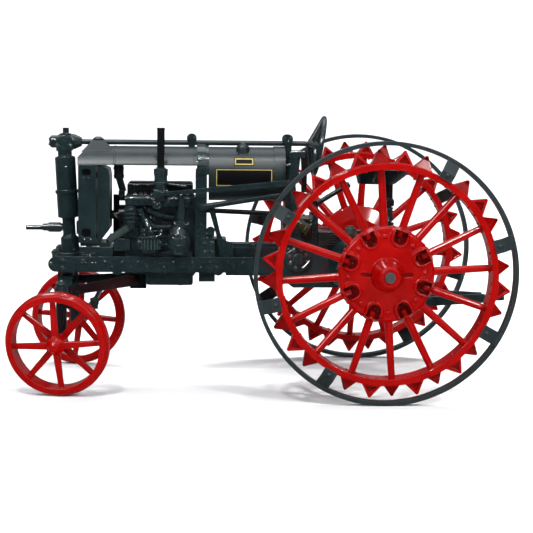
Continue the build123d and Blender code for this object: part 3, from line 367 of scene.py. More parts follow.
# Fastenings of the radiator's foot: heads of bare zinc left unpainted, four on the rail and an arch of
# six on the foot, with three short clamp bars above them. The pedestal has one at its foot and one at
# its neck.
def bent_rod(mesh, places, radius, steps=12):
    """A round rod through places in metres, closed at both ends."""
    rings = []
    side_on = None
    for index, place in enumerate(places):
        before, after = places[max(index - 1, 0)], places[min(index + 1, len(places) - 1)]
        along = (after - before).normalized()
        if side_on is None:
            side_on = along.orthogonal().normalized()
        side_on = (side_on - along * side_on.dot(along)).normalized()
        upright = along.cross(side_on)
        rings.append([mesh.verts.new(place + (side_on * cos(tau * s / steps) + upright * sin(tau * s / steps))
                                     * radius * MM) for s in range(steps)])
    for low, high in zip(rings, rings[1:]):
        for s in range(steps):
            t = (s + 1) % steps
            mesh.faces.new((low[s], low[t], high[t], high[s]))
    mesh.faces.new(list(reversed(rings[0])))
    mesh.faces.new(rings[-1])


bare_zinc = enamel("bare_zinc", (0.55, 0.58, 0.56), 0.24, (0.75, 0.76, 0.74), cloud=0.2, rounding=0.08, metal=1.0)
rail_row, foot_side, clamp_level = 48.5, 9.2, 54.8
FOOT_ARCH = ((116.3, 52.2), (115.6, 51.6), (114.5, 51.4), (113.4, 51.6), (112.7, 52.2), (111.6, 52.0))
CLAMP_BARS = (
    # front end, rear end, how far out
    (117.6, 114.8, 9.15),
    (112.4, 109.8, 8.6),
    (108.8, 105.2, 8.2),
)
for side, way in SIDES:
    out = (0, way, 0)
    heads = bmesh.new()
    for x in (116.3, 114.9, 112.3, 110.9):
        rivet_head(heads, seated(at(x, way * rail_side, rail_row), out), 0.42, 0.6, 10)
    for x, z in FOOT_ARCH:
        rivet_head(heads, seated(at(x, way * foot_side, z), out), 0.32, 0.5, 8)
    for front, rear, y in CLAMP_BARS:
        bent_rod(heads, [at(front, way * y, clamp_level), at(rear, way * y, clamp_level)], 0.28, 8)
    rivet_head(heads, seated(at(120.0, way * 3.1, 53.1), (-0.3, way, 0.1)), 0.4, 0.6, 8)
    rivet_head(heads, seated(at(123.3, way * 4.2, 86.2), out), 0.38, 0.5, 8)
    fit(f"zinc_heads_{side}", heads, "chassis", "axle_steel", bare_zinc)

# Foot of the steering pedestal: a turned flange held to the bolster by six bolts, and two studs with
# round nuts on each side in front of it.
pedestal_x, pedestal_foot, flange_ring = 122.6, 51.0, 4.5
up = (0, 0, 1)
flange = bmesh.new()
turned_part(flange, seated(at(pedestal_x, 0, pedestal_foot), up),
            [(0, -0.4), (5.2, -0.4), (5.2, 0.5), (4.4, 0.9), (3.9, 1.0)], 32)
for step in range(6):
    a = tau * (step + 0.5) / 6
    hex_bolt(flange, seated(at(pedestal_x + flange_ring * cos(a), flange_ring * sin(a), pedestal_foot + 0.5), up),
             0.55, 0.9)
fit("pedestal_flange", flange, "chassis", "body_green")
studs = bmesh.new()
for y in (-3.4, 3.4):
    for x, shank in ((126.4, 2.6), (128.2, 0.8)):
        turned_part(studs, seated(at(x, y, 50.4), up),
                    [(0.75, -0.2), (0.75, shank), (1.0, shank + 0.1), (1.0, shank + 1.2), (0.6, shank + 1.5),
                     (0, shank + 1.6)], 12)
fit("pedestal_studs", studs, "chassis", "body_green", rubbed_paint)

# Steering gear case: a split casting clamped by four screws on each side, with a small cap on its
# front held by four more.
screws = bmesh.new()
for way in (-1, 1):
    for x, z in ((126.6, 97.8), (126.6, 94.6), (121.2, 97.9), (121.4, 94.7)):
        hex_bolt(screws, seated(at(x, way * 2.97, z), (0, way, 0)), 0.6, 0.7)
cap_y, cap_z, cap_ring = -2.0, 96.2, 1.5
for step in range(4):
    a = tau * (step + 0.5) / 4
    hex_bolt(screws, seated(at(130.1, cap_y + cap_ring * cos(a), cap_z + cap_ring * sin(a)), (1, 0, 0)), 0.4, 0.4)
fit("gear_case_screws", screws, "chassis", "body_green", rubbed_paint)


# Radiator: a soldered core of flat tubes crossed by thin fins, painted black and set in the front of
# its cast frame. Four zinc heads on each side hold the frame's columns.
def rectangle(low_x, low_y, high_x, high_y):
    return [(low_x, low_y), (high_x, low_y), (high_x, high_y), (low_x, high_y)]


core = bmesh.new()
for row in range(27):
    cut_plate(core, seated(at(117.6, 0, 59.2 + row), up), rectangle(-0.6, -7.2, 0.35, 7.2), -0.1, 0.1)
for column in range(11):
    cut_plate(core, seated(at(117.5, -7.0 + column * 1.4, 58.6), up), rectangle(-0.5, -0.16, 0.1, 0.16), 0.0, 26.9)
fit("radiator_core", core, "chassis", "trim_black")
heads = bmesh.new()
column_side = 10.4
for way in (1, -1):
    for x, z in ((115.7, 82.2), (113.6, 82.1), (115.4, 58.1), (112.9, 57.8)):
        rivet_head(heads, seated(at(x, way * column_side, z), (0, way, 0)), 0.42, 0.6, 10)
fit("radiator_bolts", heads, "chassis", "axle_steel", bare_zinc)

# Engine block: cast in one with its head, which shows as a raised seam with bolts under it. Two core
# plugs and a row of crankcase bolts lie low on each side. The two inspection doors on the right side
# are a guess from the engine's type.
block_side = 7.8
seam = bmesh.new()
plugs = bmesh.new()
for way in (1, -1):
    out = (0, way, 0)
    cut_plate(seam, seated(at(85.3, way * block_side, 70.6), out, (1, 0, 0)), rectangle(-14.0, -0.3, 14.0, 0.3),
              -0.1, 0.35)
    for x in (73.4, 77.0, 80.6, 84.2, 87.8):
        hex_bolt(seam, seated(at(x, way * block_side, 68.6), out), 0.55, 0.55)
    for x in (75.2, 83.4):
        turned_part(plugs, seated(at(x, way * block_side, 57.2), out),
                    [(2.0, -0.2), (2.0, 0.35), (1.6, 0.45), (1.4, 0.2), (0, 0.15)], 20)
    for x in range(74, 92, 4):
        hex_bolt(plugs, seated(at(x, way * 9.8, 51.9), out), 0.45, 0.4)
fit("head_seam", seam, "chassis", "body_green", bevel=0.1)
fit("block_plugs", plugs, "chassis", "body_green")
doors = bmesh.new()
heads = bmesh.new()
right = (0, -1, 0)
door_level, door_face = 64.0, 8.3
for x in (78.0, 90.0):
    cut_plate(doors, seated(at(x, -block_side, door_level), right, (1, 0, 0)), rectangle(-5.2, -3.6, 5.2, 3.6),
              -0.1, 0.5)
    for dx in (-4.4, 4.4):
        for dz in (-2.8, 2.8):
            hex_bolt(heads, seated(at(x + dx, -door_face, door_level + dz), right), 0.4, 0.4)
fit("pushrod_doors", doors, "chassis", "body_green", bevel=0.2)
fit("pushrod_door_bolts", heads, "chassis", "body_green", rubbed_paint)

# Oil pan: pressed sheet with a flat lip round its top, screwed up from below, and the hexagon of the
# drain plug under it.
lip = bmesh.new()
cut_plate(lip, seated(at(81.6, 0, 43.5), up), rectangle(-9.9, -7.4, 9.8, 7.4), -0.35, 0.25)
fit("pan_lip", lip, "chassis", "body_green", bevel=0.12)
heads = bmesh.new()
down = (0, 0, -1)
for x in range(73, 91, 3):
    for y in (7.1, -7.1):
        rivet_head(heads, seated(at(x, y, 43.2), down), 0.35, 0.4, 8)
hex_bolt(heads, seated(at(77.5, 0, 38.5), down), 0.7, 0.1)
fit("pan_screws", heads, "chassis", "body_green", rubbed_paint)

# Valve cover: pressed black sheet on a flange, with a zinc nut at every stud and a row of small heads
# along its upper edge. A short oil line with a union at each end lies along the left side.
cover_edge = bmesh.new()
cut_plate(cover_edge, seated(at(85.5, 0, 75.3), up), rectangle(-13.6, -7.3, 13.6, 7.3), -0.4, 0.35)
fit("cover_flange", cover_edge, "chassis", "trim_black", bevel=0.15)
nuts = bmesh.new()
for way in (1, -1):
    for x in (95.5, 93.1, 91.3, 88.7, 81.8, 79.4, 77.0, 74.6):
        hex_bolt(nuts, seated(at(x, way * 6.9, 75.6), up), 0.55, 0.8)
    for x in (95.7, 94.6, 93.7, 92.0, 90.8, 90.0, 86.6, 85.4, 82.9, 80.5, 78.1, 75.7):
        rivet_head(nuts, seated(at(x, way * 6.4, 79.4), (0, way, 0.5)), 0.42, 0.55, 8)
fit("cover_nuts", nuts, "chassis", "trim_black", bare_zinc)
oil_line = bmesh.new()
bent_rod(oil_line, [at(83.4, 7.3, 79.9), at(79.0, 7.4, 79.5), at(75.2, 7.3, 78.9)], 0.62)
for x, z in ((83.0, 79.9), (75.6, 79.0)):
    turned_part(oil_line, seated(at(x, 7.3, z), (1, 0, 0.1)),
                [(0.4, -0.5), (0.85, -0.4), (0.85, 0.4), (0.4, 0.5)], 12)
fit("oil_line", oil_line, "chassis", "body_green", rubbed_paint)

# Manifold and exhaust riser: iron castings clamped between the ports by nuts, with a plug in the
# middle of the log, collars and small heads round the riser, and the nuts of the pipe's flange.
left = (0, 1, 0)
riser_x, riser_y = 85.1, 12.9
foot_radius, wall_radius, nut_ring = 2.6, 2.55, 2.2
fittings = bmesh.new()
for x in (77.6, 82.4, 87.6):
    hex_bolt(fittings, seated(at(x, riser_y, 73.2), left), 0.7, 0.8)
for step in range(5):
    a = pi * (step + 0.4) / 5
    rivet_head(fittings, seated(at(riser_x + foot_radius * cos(a), riser_y + foot_radius * sin(a), 77.7),
                                (cos(a), sin(a), 0.4)), 0.4, 0.5, 8)
for x, z in ((86.4, 80.1), (85.1, 80.0), (83.5, 81.3)):
    aside = x - riser_x
    rivet_head(fittings, seated(at(x, riser_y + (wall_radius ** 2 - aside ** 2) ** 0.5, z), (aside, 2.4, 0.6)),
               0.38, 0.5, 8)
rivet_head(fittings, seated(at(74.6, riser_y, 74.1), (0, 1, 0.4)), 0.5, 0.6, 10)
for x, z in ((94.6, 69.8), (93.9, 68.8), (93.3, 67.6), (91.3, 70.6)):
    rivet_head(fittings, seated(at(x, 9.9, z), (0, 1, 0.4)), 0.42, 0.5, 8)
for step in range(4):
    a = tau * (step + 0.5) / 4
    hex_bolt(fittings, seated(at(riser_x + nut_ring * cos(a), riser_y + nut_ring * sin(a), 86.2), up), 0.4, 0.5)
fit("manifold_nuts", fittings, "chassis", "body_green", rubbed_paint)
pipe_rings = bmesh.new()
for z, r in ((86.4, 1.9), (102.0, 1.62)):
    turned_part(pipe_rings, seated(at(riser_x, riser_y, z), up),
                [(r - 0.4, -0.5), (r, -0.35), (r, 0.2), (r - 0.4, 0.35)], 24)
fit("exhaust_rings", pipe_rings, "chassis", "trim_black")
collars = bmesh.new()
turned_part(collars, seated(at(86.5, 14.0, 71.9), left),
            [(1.75, -0.6), (1.75, 0.3), (1.35, 0.5), (1.0, 0.15), (0.55, 0.15), (0.4, 0.5), (0, 0.6)], 20)
for z in (76.9, 80.6):
    turned_part(collars, seated(at(riser_x, riser_y, z), up),
                [(2.5, -0.6), (2.95, -0.45), (2.95, 0.2), (2.5, 0.45)], 28)
fit("riser_collars", collars, "chassis", "body_green")

# Inner intake pipes: two bent tubes that drop from the head and curve back inside the cast pair. Their
# black is painted shade, for the shade of the cast pair they lie in.
bend_x, bend_z, bend_reach, bend_drop = 82.4, 70.6, 10.6, 7.9
inner_pipes = bmesh.new()
for inside_by, ahead_by in ((1.5, 0.0), (2.9, 0.4)):
    bend = []
    for step in range(11):
        a = radians(172 + step * 10.6)
        bend.append(at(bend_x + ahead_by + (bend_reach - inside_by) * -cos(a), 8.5,
                       bend_z + (bend_drop - inside_by) * sin(a)))
    bent_rod(inner_pipes, bend, 0.45, 10)
fit("inner_pipes", inner_pipes, "chassis", "body_green", PAINTS["trim_black"])

# Carburettor: a ribbed bowl under a lid with six screws, a throttle arm in two plates joined by a
# link, and an elbow that leads up to the intake pipes. Its small heads are bare zinc.
# A lighter copy of the body green, as painted light: it stands for the light that falls on the bowl's ribs and the
# water pipe.
lit_pipe_green = enamel("lit_pipe_green_enamel", (0.022, 0.040, 0.037), 0.32, (0.06, 0.09, 0.08), cloud=0.3,
                    rounding=0.2, shine=1.0)
bowl_x, carburettor_y, arm_y = 89.4, 12.2, 14.7
rib_count, rib_ring, lid_ring = 18, 3.85, 3.5
ribs = bmesh.new()
for rib in range(rib_count):
    a = tau * rib / rib_count
    foot = at(bowl_x + rib_ring * cos(a), carburettor_y + rib_ring * sin(a), 54.4)
    cut_plate(ribs, seated(foot, up, (cos(a), sin(a), 0)), rectangle(-0.1, -0.22, 0.3, 0.22), 0.0, 3.9)
fit("bowl_ribs", ribs, "chassis", "body_green", lit_pipe_green)
lid = bmesh.new()
for step in range(6):
    a = tau * step / 6
    hex_bolt(lid, seated(at(bowl_x + lid_ring * cos(a), carburettor_y + lid_ring * sin(a), 59.4), up), 0.42, 0.5)
for x in (84.8, 94.0):
    hex_bolt(lid, seated(at(x, carburettor_y, 56.6), (x - bowl_x, 0, 0)), 1.0, 0.7)
bent_rod(lid, [at(89.4, 12.2, 61.0), at(89.6, 12.0, 62.6), at(90.4, 11.2, 64.2), at(91.2, 10.2, 65.6)], 1.5, 14)
bent_rod(lid, [at(84.9, 13.4, 60.2), at(86.4, 13.4, 61.6), at(88.2, 12.8, 61.4)], 0.4, 8)
fit("carburettor_fittings", lid, "chassis", "body_green")
heads = bmesh.new()
for x, z in ((91.5, 61.8), (91.5, 60.2), (92.3, 58.9), (90.6, 58.8), (88.6, 59.3), (87.4, 59.3), (85.0, 60.4),
             (84.8, 61.7)):
    rivet_head(heads, seated(at(x, 15.3, z), (0, 1, 0.4)), 0.42, 0.6, 8)
fit("carburettor_screws", heads, "chassis", "body_green", bare_zinc)
arm = bmesh.new()
cut_plate(arm, seated(at(91.6, arm_y, 60.4), left, (1, 0, 0)), [(-1.1, -2.4), (1.3, -2.2), (0.7, 2.3), (-0.7, 2.3)],
          -0.4, 0.5)
cut_plate(arm, seated(at(84.9, arm_y, 61.0), left, (1, 0, 0)), rectangle(-0.8, -1.4, 0.8, 1.4), -0.4, 0.5)
bent_rod(arm, [at(90.4, 14.8, 59.6), at(87.8, 15.9, 59.4), at(85.4, 14.9, 60.0)], 0.32, 8)
fit("throttle_arm", arm, "chassis", "body_green", bevel=0.15)

# Air cleaner: a spun sheet bowl under a straight stack, each held by a rolled clamp. A ring of zinc
# beads closes the stack's foot, and a few screw heads stand round the bowl.
stack_x, cleaner_x, cleaner_y, bowl_radius = 76.9, 77.8, 14.4, 4.35
bead_count, bead_ring, screw_ring = 18, 2.75, 4.2
beads = bmesh.new()
for bead in range(bead_count):
    a = tau * bead / bead_count
    rivet_head(beads, seated(at(stack_x + bead_ring * cos(a), cleaner_y + bead_ring * sin(a), 64.9 - 0.7 * sin(a)),
                             (cos(a), sin(a), 0.3)), 0.25, 0.4, 8)
for x, z in ((80.7, 60.7), (80.0, 59.3), (76.4, 58.9), (75.7, 59.6), (78.15, 56.25), (77.2, 56.25)):
    aside = x - cleaner_x
    rivet_head(beads, seated(at(x, cleaner_y + (bowl_radius ** 2 - aside ** 2) ** 0.5, z), (aside, 4.0, 1.2)),
               0.34, 0.5, 8)
fit("cleaner_beads", beads, "chassis", "body_green", bare_zinc)
clamp = bmesh.new()
for x, z, r in ((cleaner_x, 58.9, 4.45), (stack_x, 75.5, 1.75)):
    turned_part(clamp, seated(at(x, cleaner_y, z), up),
                [(r - 0.3, -0.4), (r + 0.12, -0.2), (r + 0.12, 0.2), (r - 0.3, 0.4)], 28)
for a in (0.5, 1.4, 2.3):
    rivet_head(clamp, seated(at(cleaner_x + screw_ring * cos(a), cleaner_y + screw_ring * sin(a), 60.0),
                             (cos(a), sin(a), 0.3)), 0.4, 0.5, 8)
fit("cleaner_clamp", clamp, "chassis", "body_green")

# Water header, pipe and hose: a rounded casting along the head, a fat pipe that climbs from the
# radiator's foot to the block between two gland nuts, and worm clamps on the black upper hose.
header = bmesh.new()
bent_rod(header, [at(98.9, 9.4, 73.8), at(98.6, 9.5, 73.8), at(96.0, 9.7, 73.9), at(90.6, 9.7, 73.8),
                  at(88.6, 9.6, 73.7)], 1.75, 20)
fit("water_header", header, "chassis", "body_green", bevel=0.5)
glands = bmesh.new()
pipe_run = at(98.2, 9.5, 61.2) - at(105.4, 7.0, 57.6)
hex_bolt(glands, seated(at(99.6, 9.0, 60.5), pipe_run), 1.75, 1.0)
hex_bolt(glands, seated(at(104.4, 7.35, 58.1), pipe_run), 1.7, 0.8)
fit("pipe_glands", glands, "chassis", "body_green")
# The sleeve is in the lighter green of painted light, for the light that falls on the pipe.
sleeve = bmesh.new()
bent_rod(sleeve, [at(105.3, 8.1, 57.6), at(104.6, 8.6, 58.2), at(101.0, 9.6, 60.6), at(98.8, 10.4, 62.0),
                  at(97.6, 11.2, 63.0)], 1.55, 18)
for x, y, z in ((99.7, 11.4, 62.4), (98.1, 11.2, 61.2)):
    rivet_head(sleeve, seated(at(x, y, z), (0, 1, 0.5)), 0.45, 0.7, 8)
fit("pipe_sleeve", sleeve, "chassis", "body_green", lit_pipe_green)
hose_y = 4.5
clamps = bmesh.new()
for x, z, r in ((102.1, 85.9, 2.15), (102.0, 82.9, 2.15), (100.9, 74.6, 1.5)):
    turned_part(clamps, seated(at(x, hose_y, z), up), [(r - 0.3, -0.45), (r, -0.4), (r, 0.4), (r - 0.3, 0.45)], 24)
fit("hose_clamps", clamps, "chassis", "trim_black")

# Gear housing: a casting with a round cover low on each side, held by eight bolts round its hub, a
# cotter across it, and ribs cast on the wall behind. The heads are bare zinc.
cover_x, cover_side, cover_level = 30.2, 12.2, 50.4
bolt_ring, bolt_level = 3.7, 50.6
wall_side, web_side = 11.0, 11.6
CASE_HEADS = ((28.2, 68.3), (25.3, 65.8), (25.3, 64.4), (34.2, 54.6), (34.6, 52.6), (23.4, 65.2), (15.8, 58.7))
for side, way in SIDES:
    out = (0, way, 0)
    heads = bmesh.new()
    for step in range(8):
        a = tau * (step + 0.35) / 8
        hex_bolt(heads, seated(at(cover_x + bolt_ring * cos(a), way * cover_side, bolt_level + bolt_ring * sin(a)),
                               out), 0.55, 0.6)
    for x, z in CASE_HEADS:
        rivet_head(heads, seated(at(x, way * web_side, z), out), 0.5, 0.7, 10)
    bent_rod(heads, [at(28.5, way * 12.9, 47.0), at(27.1, way * 13.1, 48.4), at(25.7, way * 12.9, 49.9)], 0.3, 8)
    fit(f"case_bolts_{side}", heads, "chassis", "body_green", bare_zinc)

    cover_ring = bmesh.new()
    turned_part(cover_ring, seated(at(cover_x, way * cover_side, cover_level), out),
                [(4.9, -0.3), (4.9, 0.25), (4.5, 0.45), (4.3, 0.1)], 32)
    turned_part(cover_ring, seated(at(cover_x, way * 13.0, cover_level), out),
                [(2.2, -0.3), (2.0, 0.3), (1.0, 0.5), (0, 0.5)], 20)
    fit(f"case_cover_ring_{side}", cover_ring, "chassis", "body_green")

    fins = bmesh.new()
    fin_front = 22.0
    for step in range(6):
        fin_rear = 14.2 - step * 0.4
        half = (fin_front - fin_rear) / 2
        cut_plate(fins, seated(at((fin_front + fin_rear) / 2, way * wall_side, 61.3 - step * 0.92), out, (1, 0, 0)),
                  rectangle(-half, -0.24, half, 0.24), -0.2, 3.2)
    for x in (13.6, 16.4, 19.2, 22.0):
        cut_plate(fins, seated(at(x, way * wall_side, 59.0), out, (1, 0, 0)), rectangle(-0.22, -2.6, 0.22, 2.5),
                  -0.2, 2.9)
    for x, low, high in ((24.6, 57.6, 63.4), (23.2, 57.4, 66.0)):
        half = (high - low) / 2
        cut_plate(fins, seated(at(x, way * web_side, (low + high) / 2), out, (1, 0, 0)),
                  rectangle(-0.3, -half, 0.3, half), -0.2, 1.2)
    fit(f"case_fins_{side}", fins, "chassis", "body_green", bevel=0.1)

# Brake cylinder: a turned barrel with three rolled bands, in brown lacquer, that slopes down across
# the left wall of the gear housing.
brown_lacquer = enamel("brown_lacquer", (0.040, 0.033, 0.012), 0.20, (0.14, 0.12, 0.05), cloud=0.4, rounding=0.2,
                       shine=0.8)
barrel_y, barrel_run, barrel_fall = 13.4, 7.8, 5.5
barrel = bmesh.new()
bent_rod(barrel, [at(35.3, barrel_y, 68.2), at(34.6, barrel_y, 67.7), at(27.4, barrel_y, 62.6),
                  at(26.7, barrel_y, 62.1)], 2.35, 20)
for share in (0.12, 0.5, 0.88):
    middle = at(34.8 - barrel_run * share, barrel_y, 67.8 - barrel_fall * share)
    turned_part(barrel, seated(middle, (barrel_run, 0, barrel_fall)),
                [(2.2, -0.35), (2.6, -0.2), (2.6, 0.2), (2.2, 0.35)], 24)
fit("brake_cylinder", barrel, "chassis", "body_green", brown_lacquer)

# Tank hoop and shaft brackets: a flat iron hoop bolted to the rails, with heads up its legs and over
# the tank, two screws in the neck of the tank's cap, and bolts through both halves of each bracket
# that holds the steering shaft.
body_radius, body_level = 10.8, 83.9
leg_side, hoop_radius, bracket_level = 10.8, body_radius + 1.1, 98.2
a = radians(38)
bolts = bmesh.new()
for way in (1, -1):
    for x, z in ((64.6, 53.0), (64.6, 56.8), (67.6, 53.0), (67.6, 56.6)):
        hex_bolt(bolts, seated(at(x, way * rail_side, z), (0, way, 0)), 0.6, 0.55)
    for z in (64.0, 72.0, 84.0):
        rivet_head(bolts, seated(at(69.0, way * leg_side, z), (0, way, 0)), 0.5, 0.4, 10)
    for x in (68.1, 70.1):
        rivet_head(bolts, seated(at(x, way * hoop_radius * cos(a), body_level + hoop_radius * sin(a)),
                                 (0, way * cos(a), sin(a))), 0.5, 0.4, 10)
    rivet_head(bolts, seated(at(69.7, way * 10.05, 90.1), (0, way * 0.88, 0.48)), 1.1, 0.6, 16)
    for x, lean in ((54.4, 0.4), (51.2, -0.4)):
        rivet_head(bolts, seated(at(x, way * 7.1, 92.2), (lean, way * 0.9, 0.3)), 0.4, 0.5, 8)
BRACKET_SIDES = (
    # bracket's middle, y of its left face, y of its right face
    (73.0, 0.02, -3.98),
    (34.3, 0.3, -4.3),
)
for middle_x, left_y, right_y in BRACKET_SIDES:
    for y, out in ((left_y, (0, 1, 0)), (right_y, (0, -1, 0))):
        for dx in (-1.2, 1.2):
            hex_bolt(bolts, seated(at(middle_x + dx, y, bracket_level), out), 0.5, 0.5)
fit("hoop_bolts", bolts, "chassis", "body_green", rubbed_paint)


# Hood: smooth sheet rolled over the engine from the radiator to the hoop. A thin strap lies over each
# end seam, and a wired bead stiffens both lower edges.
def hood_strap(mesh, rear, front, rise):
    """A raised strap over the round top of the hood."""
    seat_radius, foot_angle, steps = 10.78, 20, 28
    corners = ((rear, seat_radius), (rear, seat_radius + rise), (front, seat_radius + rise), (front, seat_radius))
    rings = []
    for step in range(steps + 1):
        a = radians(foot_angle + (180 - 2 * foot_angle) * step / steps)
        rings.append([mesh.verts.new(at(x, r * cos(a), body_level + r * sin(a))) for x, r in corners])
    for low, high in zip(rings, rings[1:]):
        for s in range(4):
            t = (s + 1) % 4
            mesh.faces.new((low[s], low[t], high[t], high[s]))
    mesh.faces.new(rings[0])
    mesh.faces.new(rings[-1])


straps = bmesh.new()
hood_strap(straps, 103.1, 104.1, 0.16)
hood_strap(straps, 71.6, 72.2, 0.14)
fit("hood_seams", straps, "chassis", "body_green", sheet_green, bevel=0.08)
beads = bmesh.new()
for y in (10.05, -10.05):
    bent_rod(beads, [at(72.2, y, 87.7), at(103.0, y, 87.7)], 0.32, 8)
fit("hood_lower_beads", beads, "chassis", "body_green", sheet_green)


# Plates on the fuel tank: two plain ones on each side, of thin sheet bent to the tank, in black enamel
# with a narrow gold line near the edge.
def tank_angle(z):
    """The angle round the tank at which its side has this height."""
    return asin((z - body_level) / body_radius)


def bent_sheet(mesh, way, x_range, z_range, rise, steps=8):
    """Thin sheet that lies on the side of the round tank."""
    low, high = [tank_angle(z) for z in z_range]
    grid = []
    for step in range(steps + 1):
        a = low + (high - low) * step / steps
        grid.append([[mesh.verts.new(at(x, way * (body_radius + r) * cos(a), body_level + (body_radius + r) * sin(a)))
                      for r in (0.02, rise)] for x in x_range])
    for one, two in zip(grid, grid[1:]):
        for layer in (0, 1):
            mesh.faces.new((one[0][layer], one[1][layer], two[1][layer], two[0][layer]))
        for end in (0, 1):
            mesh.faces.new((one[end][0], one[end][1], two[end][1], two[end][0]))
    for edge in (grid[0], grid[-1]):
        mesh.faces.new((edge[0][0], edge[1][0], edge[1][1], edge[0][1]))


gold_line = enamel("plate_gold_line", (0.40, 0.33, 0.08), 0.35, (0.5, 0.4, 0.12), cloud=0.12, rounding=0.05)
plate_black = enamel("plate_black", (0.003, 0.003, 0.004), 0.45, (0.02, 0.02, 0.02), cloud=0.1, rounding=0.05,
                     shine=0.1)
plate_rise, line_rise, inset = 0.14, 0.18, 0.25
TANK_PLATES = (
    # name, x range, height range, width of the gold line
    ("large_plate", (40.7, 63.4), (79.3, 86.3), 0.28),
    ("small_plate", (48.2, 56.0), (87.6, 90.6), 0.46),
)
for side, way in SIDES:
    for name, (rear, front), (low, high), width in TANK_PLATES:
        sheet = bmesh.new()
        bent_sheet(sheet, way, (rear, front), (low, high), plate_rise)
        fit(f"{name}_{side}", sheet, "chassis", "trim_black", plate_black)

        x_edge, z_edge = (rear + inset, front - inset), (low + inset, high - inset)
        line = bmesh.new()
        for z_range in ((z_edge[0], z_edge[0] + width), (z_edge[1] - width, z_edge[1])):
            bent_sheet(line, way, x_edge, z_range, line_rise)
        for x_range in ((x_edge[0], x_edge[0] + width), (x_edge[1] - width, x_edge[1])):
            bent_sheet(line, way, x_range, z_edge, line_rise)
        fit(f"{name}_line_{side}", line, "chassis", "trim_black", gold_line)

# Seat post: a turned post from the seat bar to a cup under the seat, in a coil spring of black wire.
# Four flat rivets hold the seat pan to the cup.
post_x, coil_radius, coil_foot, coil_height, turns, steps_a_turn = -7.0, 1.75, 65.1, 5.8, 5, 16
post = bmesh.new()
turned_part(post, seated(at(post_x, 0, 0), up),
            [(0, 63.15), (1.9, 63.15), (2.35, 63.5), (2.35, 64.6), (1.1, 64.8), (1.1, 71.0), (2.1, 71.2),
             (2.35, 71.8), (2.35, 73.6), (1.7, 74.4), (1.7, 80.3), (0, 80.3)], 24)
coil = []
for step in range(turns * steps_a_turn + 1):
    a = tau * step / steps_a_turn
    coil.append(at(post_x + coil_radius * cos(a), coil_radius * sin(a),
                   coil_foot + coil_height * step / (turns * steps_a_turn)))
bent_rod(post, coil, 0.42, 8)
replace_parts(fit("seat_spring_coil", post, "chassis", "body_green", PAINTS["trim_black"]), "seat_spring")
rivets = bmesh.new()
for x in (-5.6, -8.4):
    for y in (1.4, -1.4):
        rivet_head(rivets, seated(at(x, y, 81.2), up), 0.6, 0.4, 10)
fit("seat_rivets", rivets, "chassis", "trim_black", rubbed_paint)

# Drawbar: a flat plate that reaches back from under the gear housing, with two bolts in line ahead of
# the hitch hole.
bolts = bmesh.new()
for x in (-45.6, -49.4):
    hex_bolt(bolts, seated(at(x, 0, 34.9), up), 0.8, 0.6)
fit("drawbar_bolts", bolts, "chassis", "body_green", rubbed_paint)

# Ends of the front axle: a nut on top of each kingpin with the pin's rounded tip through it, rubbed
# bright. It turns with its knuckle.
kingpin_x, kingpin_y, nut_foot = 122.6, 33.5, 42.6
for side, way in SIDES:
    nut = bmesh.new()
    hex_bolt(nut, seated(at(kingpin_x, way * kingpin_y, nut_foot), up), 1.3, 1.1)
    rivet_head(nut, seated(at(kingpin_x, way * kingpin_y, nut_foot + 1.1), up), 0.7, 0.5)
    fit(f"kingpin_nut_{side}", nut, f"knuckle_{side}", "body_green", rubbed_paint)


# Rear wheels: round spokes cast into a domed hub, eight of them in open pockets with a rolled lip,
# and sheet lugs held to the rim by pairs of rivets. Six clips with a bolt each carry the smooth slate
# band. All the rest is red.
wheel_y, wheel_z = 56.1, 49.5


def wheel_ray(way, angle):
    """The direction from the hub at an angle; the right wheel's pattern turns the other way."""
    return Vector((cos(radians(angle)), 0, -way * sin(radians(angle))))


def on_wheel(way, angle, radius, level):
    """A place on the wheel's outer side, with its level from the wheel's middle plane."""
    return at(0, way * wheel_y, wheel_z) + (wheel_ray(way, angle) * radius + Vector((0, way, 0)) * level) * MM


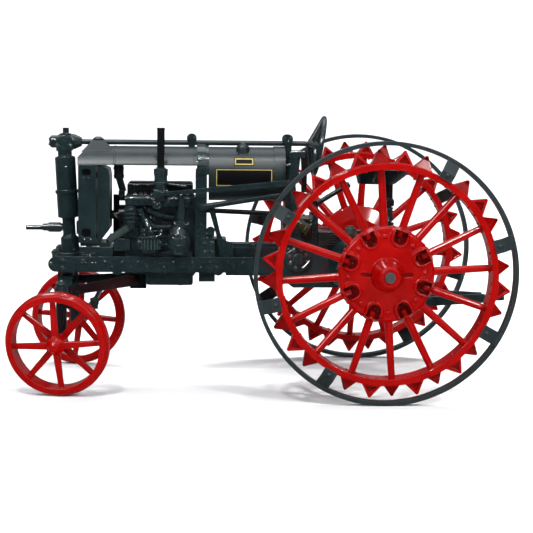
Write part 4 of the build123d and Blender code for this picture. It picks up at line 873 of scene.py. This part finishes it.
spokes, lugs, first_lug, lug_shift = 16, 32, 15.1, 2.6
lip_radius, lip_reach, lip_half = 13.9, 3.2, 3.1
for side, way in SIDES:
    out = Vector((0, way, 0))
    body = f"rear_wheel_{side}"
    heads = bmesh.new()
    lips = bmesh.new()
    for spoke in range(spokes):
        angle = first_lug + (spoke + 0.5) * 360 / spokes
        ray = wheel_ray(way, angle)
        if spoke % 2:
            rivet_head(heads, seated(on_wheel(way, angle, 14.4, 1.9), out + ray * 0.2), 1.05, 0.7)
        else:
            rivet_head(heads, seated(on_wheel(way, angle, 13.6, -1.2), out + ray * 0.3), 0.8, 0.7, 10)
            pocket = on_wheel(way, angle, 0, 0)
            lip = []
            for step in range(13):
                a = radians(-115 + step * 230 / 12)
                inward, aside = lip_radius - lip_reach * cos(a), lip_half * sin(a)
                # The hub's face falls away from a ring about 9 mm from its middle
                level = 2.67 - 0.022 * ((inward ** 2 + aside ** 2) ** 0.5 - 8.6) ** 2
                lip.append(pocket + (ray * inward + wheel_ray(way, angle + 90) * aside + out * level) * MM)
            bent_rod(lips, lip, 0.2, 6)
        between = angle + 180 / spokes
        rivet_head(heads, seated(on_wheel(way, between, 17.9, -2.0), wheel_ray(way, between)), 0.7, 0.5, 10)
    bent_rod(lips, [on_wheel(way, angle, 5.25, 6.3) for angle in range(0, 361, 12)], 0.2, 6)
    fit(f"hub_rivets_{side}", heads, body, "wheel_red")
    fit(f"pocket_lips_{side}", lips, body, "wheel_red")

    heads = bmesh.new()
    for lug in range(lugs):
        level = -2.4 if lug % 2 else 2.4
        for shift in (-lug_shift, lug_shift):
            angle = first_lug + lug * 360 / lugs + shift
            rivet_head(heads, seated(on_wheel(way, angle, 39.1, level), -wheel_ray(way, angle)), 0.55, 0.5, 8)
    fit(f"lug_rivets_{side}", heads, body, "wheel_red")

    heads = bmesh.new()
    for clip in (0, 1, 3, 4, 5, 7):
        rivet_head(heads, seated(on_wheel(way, first_lug + clip * 45.0, 42.9, 5.6), out), 0.95, 0.75)
    fit(f"clip_bolts_{side}", heads, body, "band_slate")
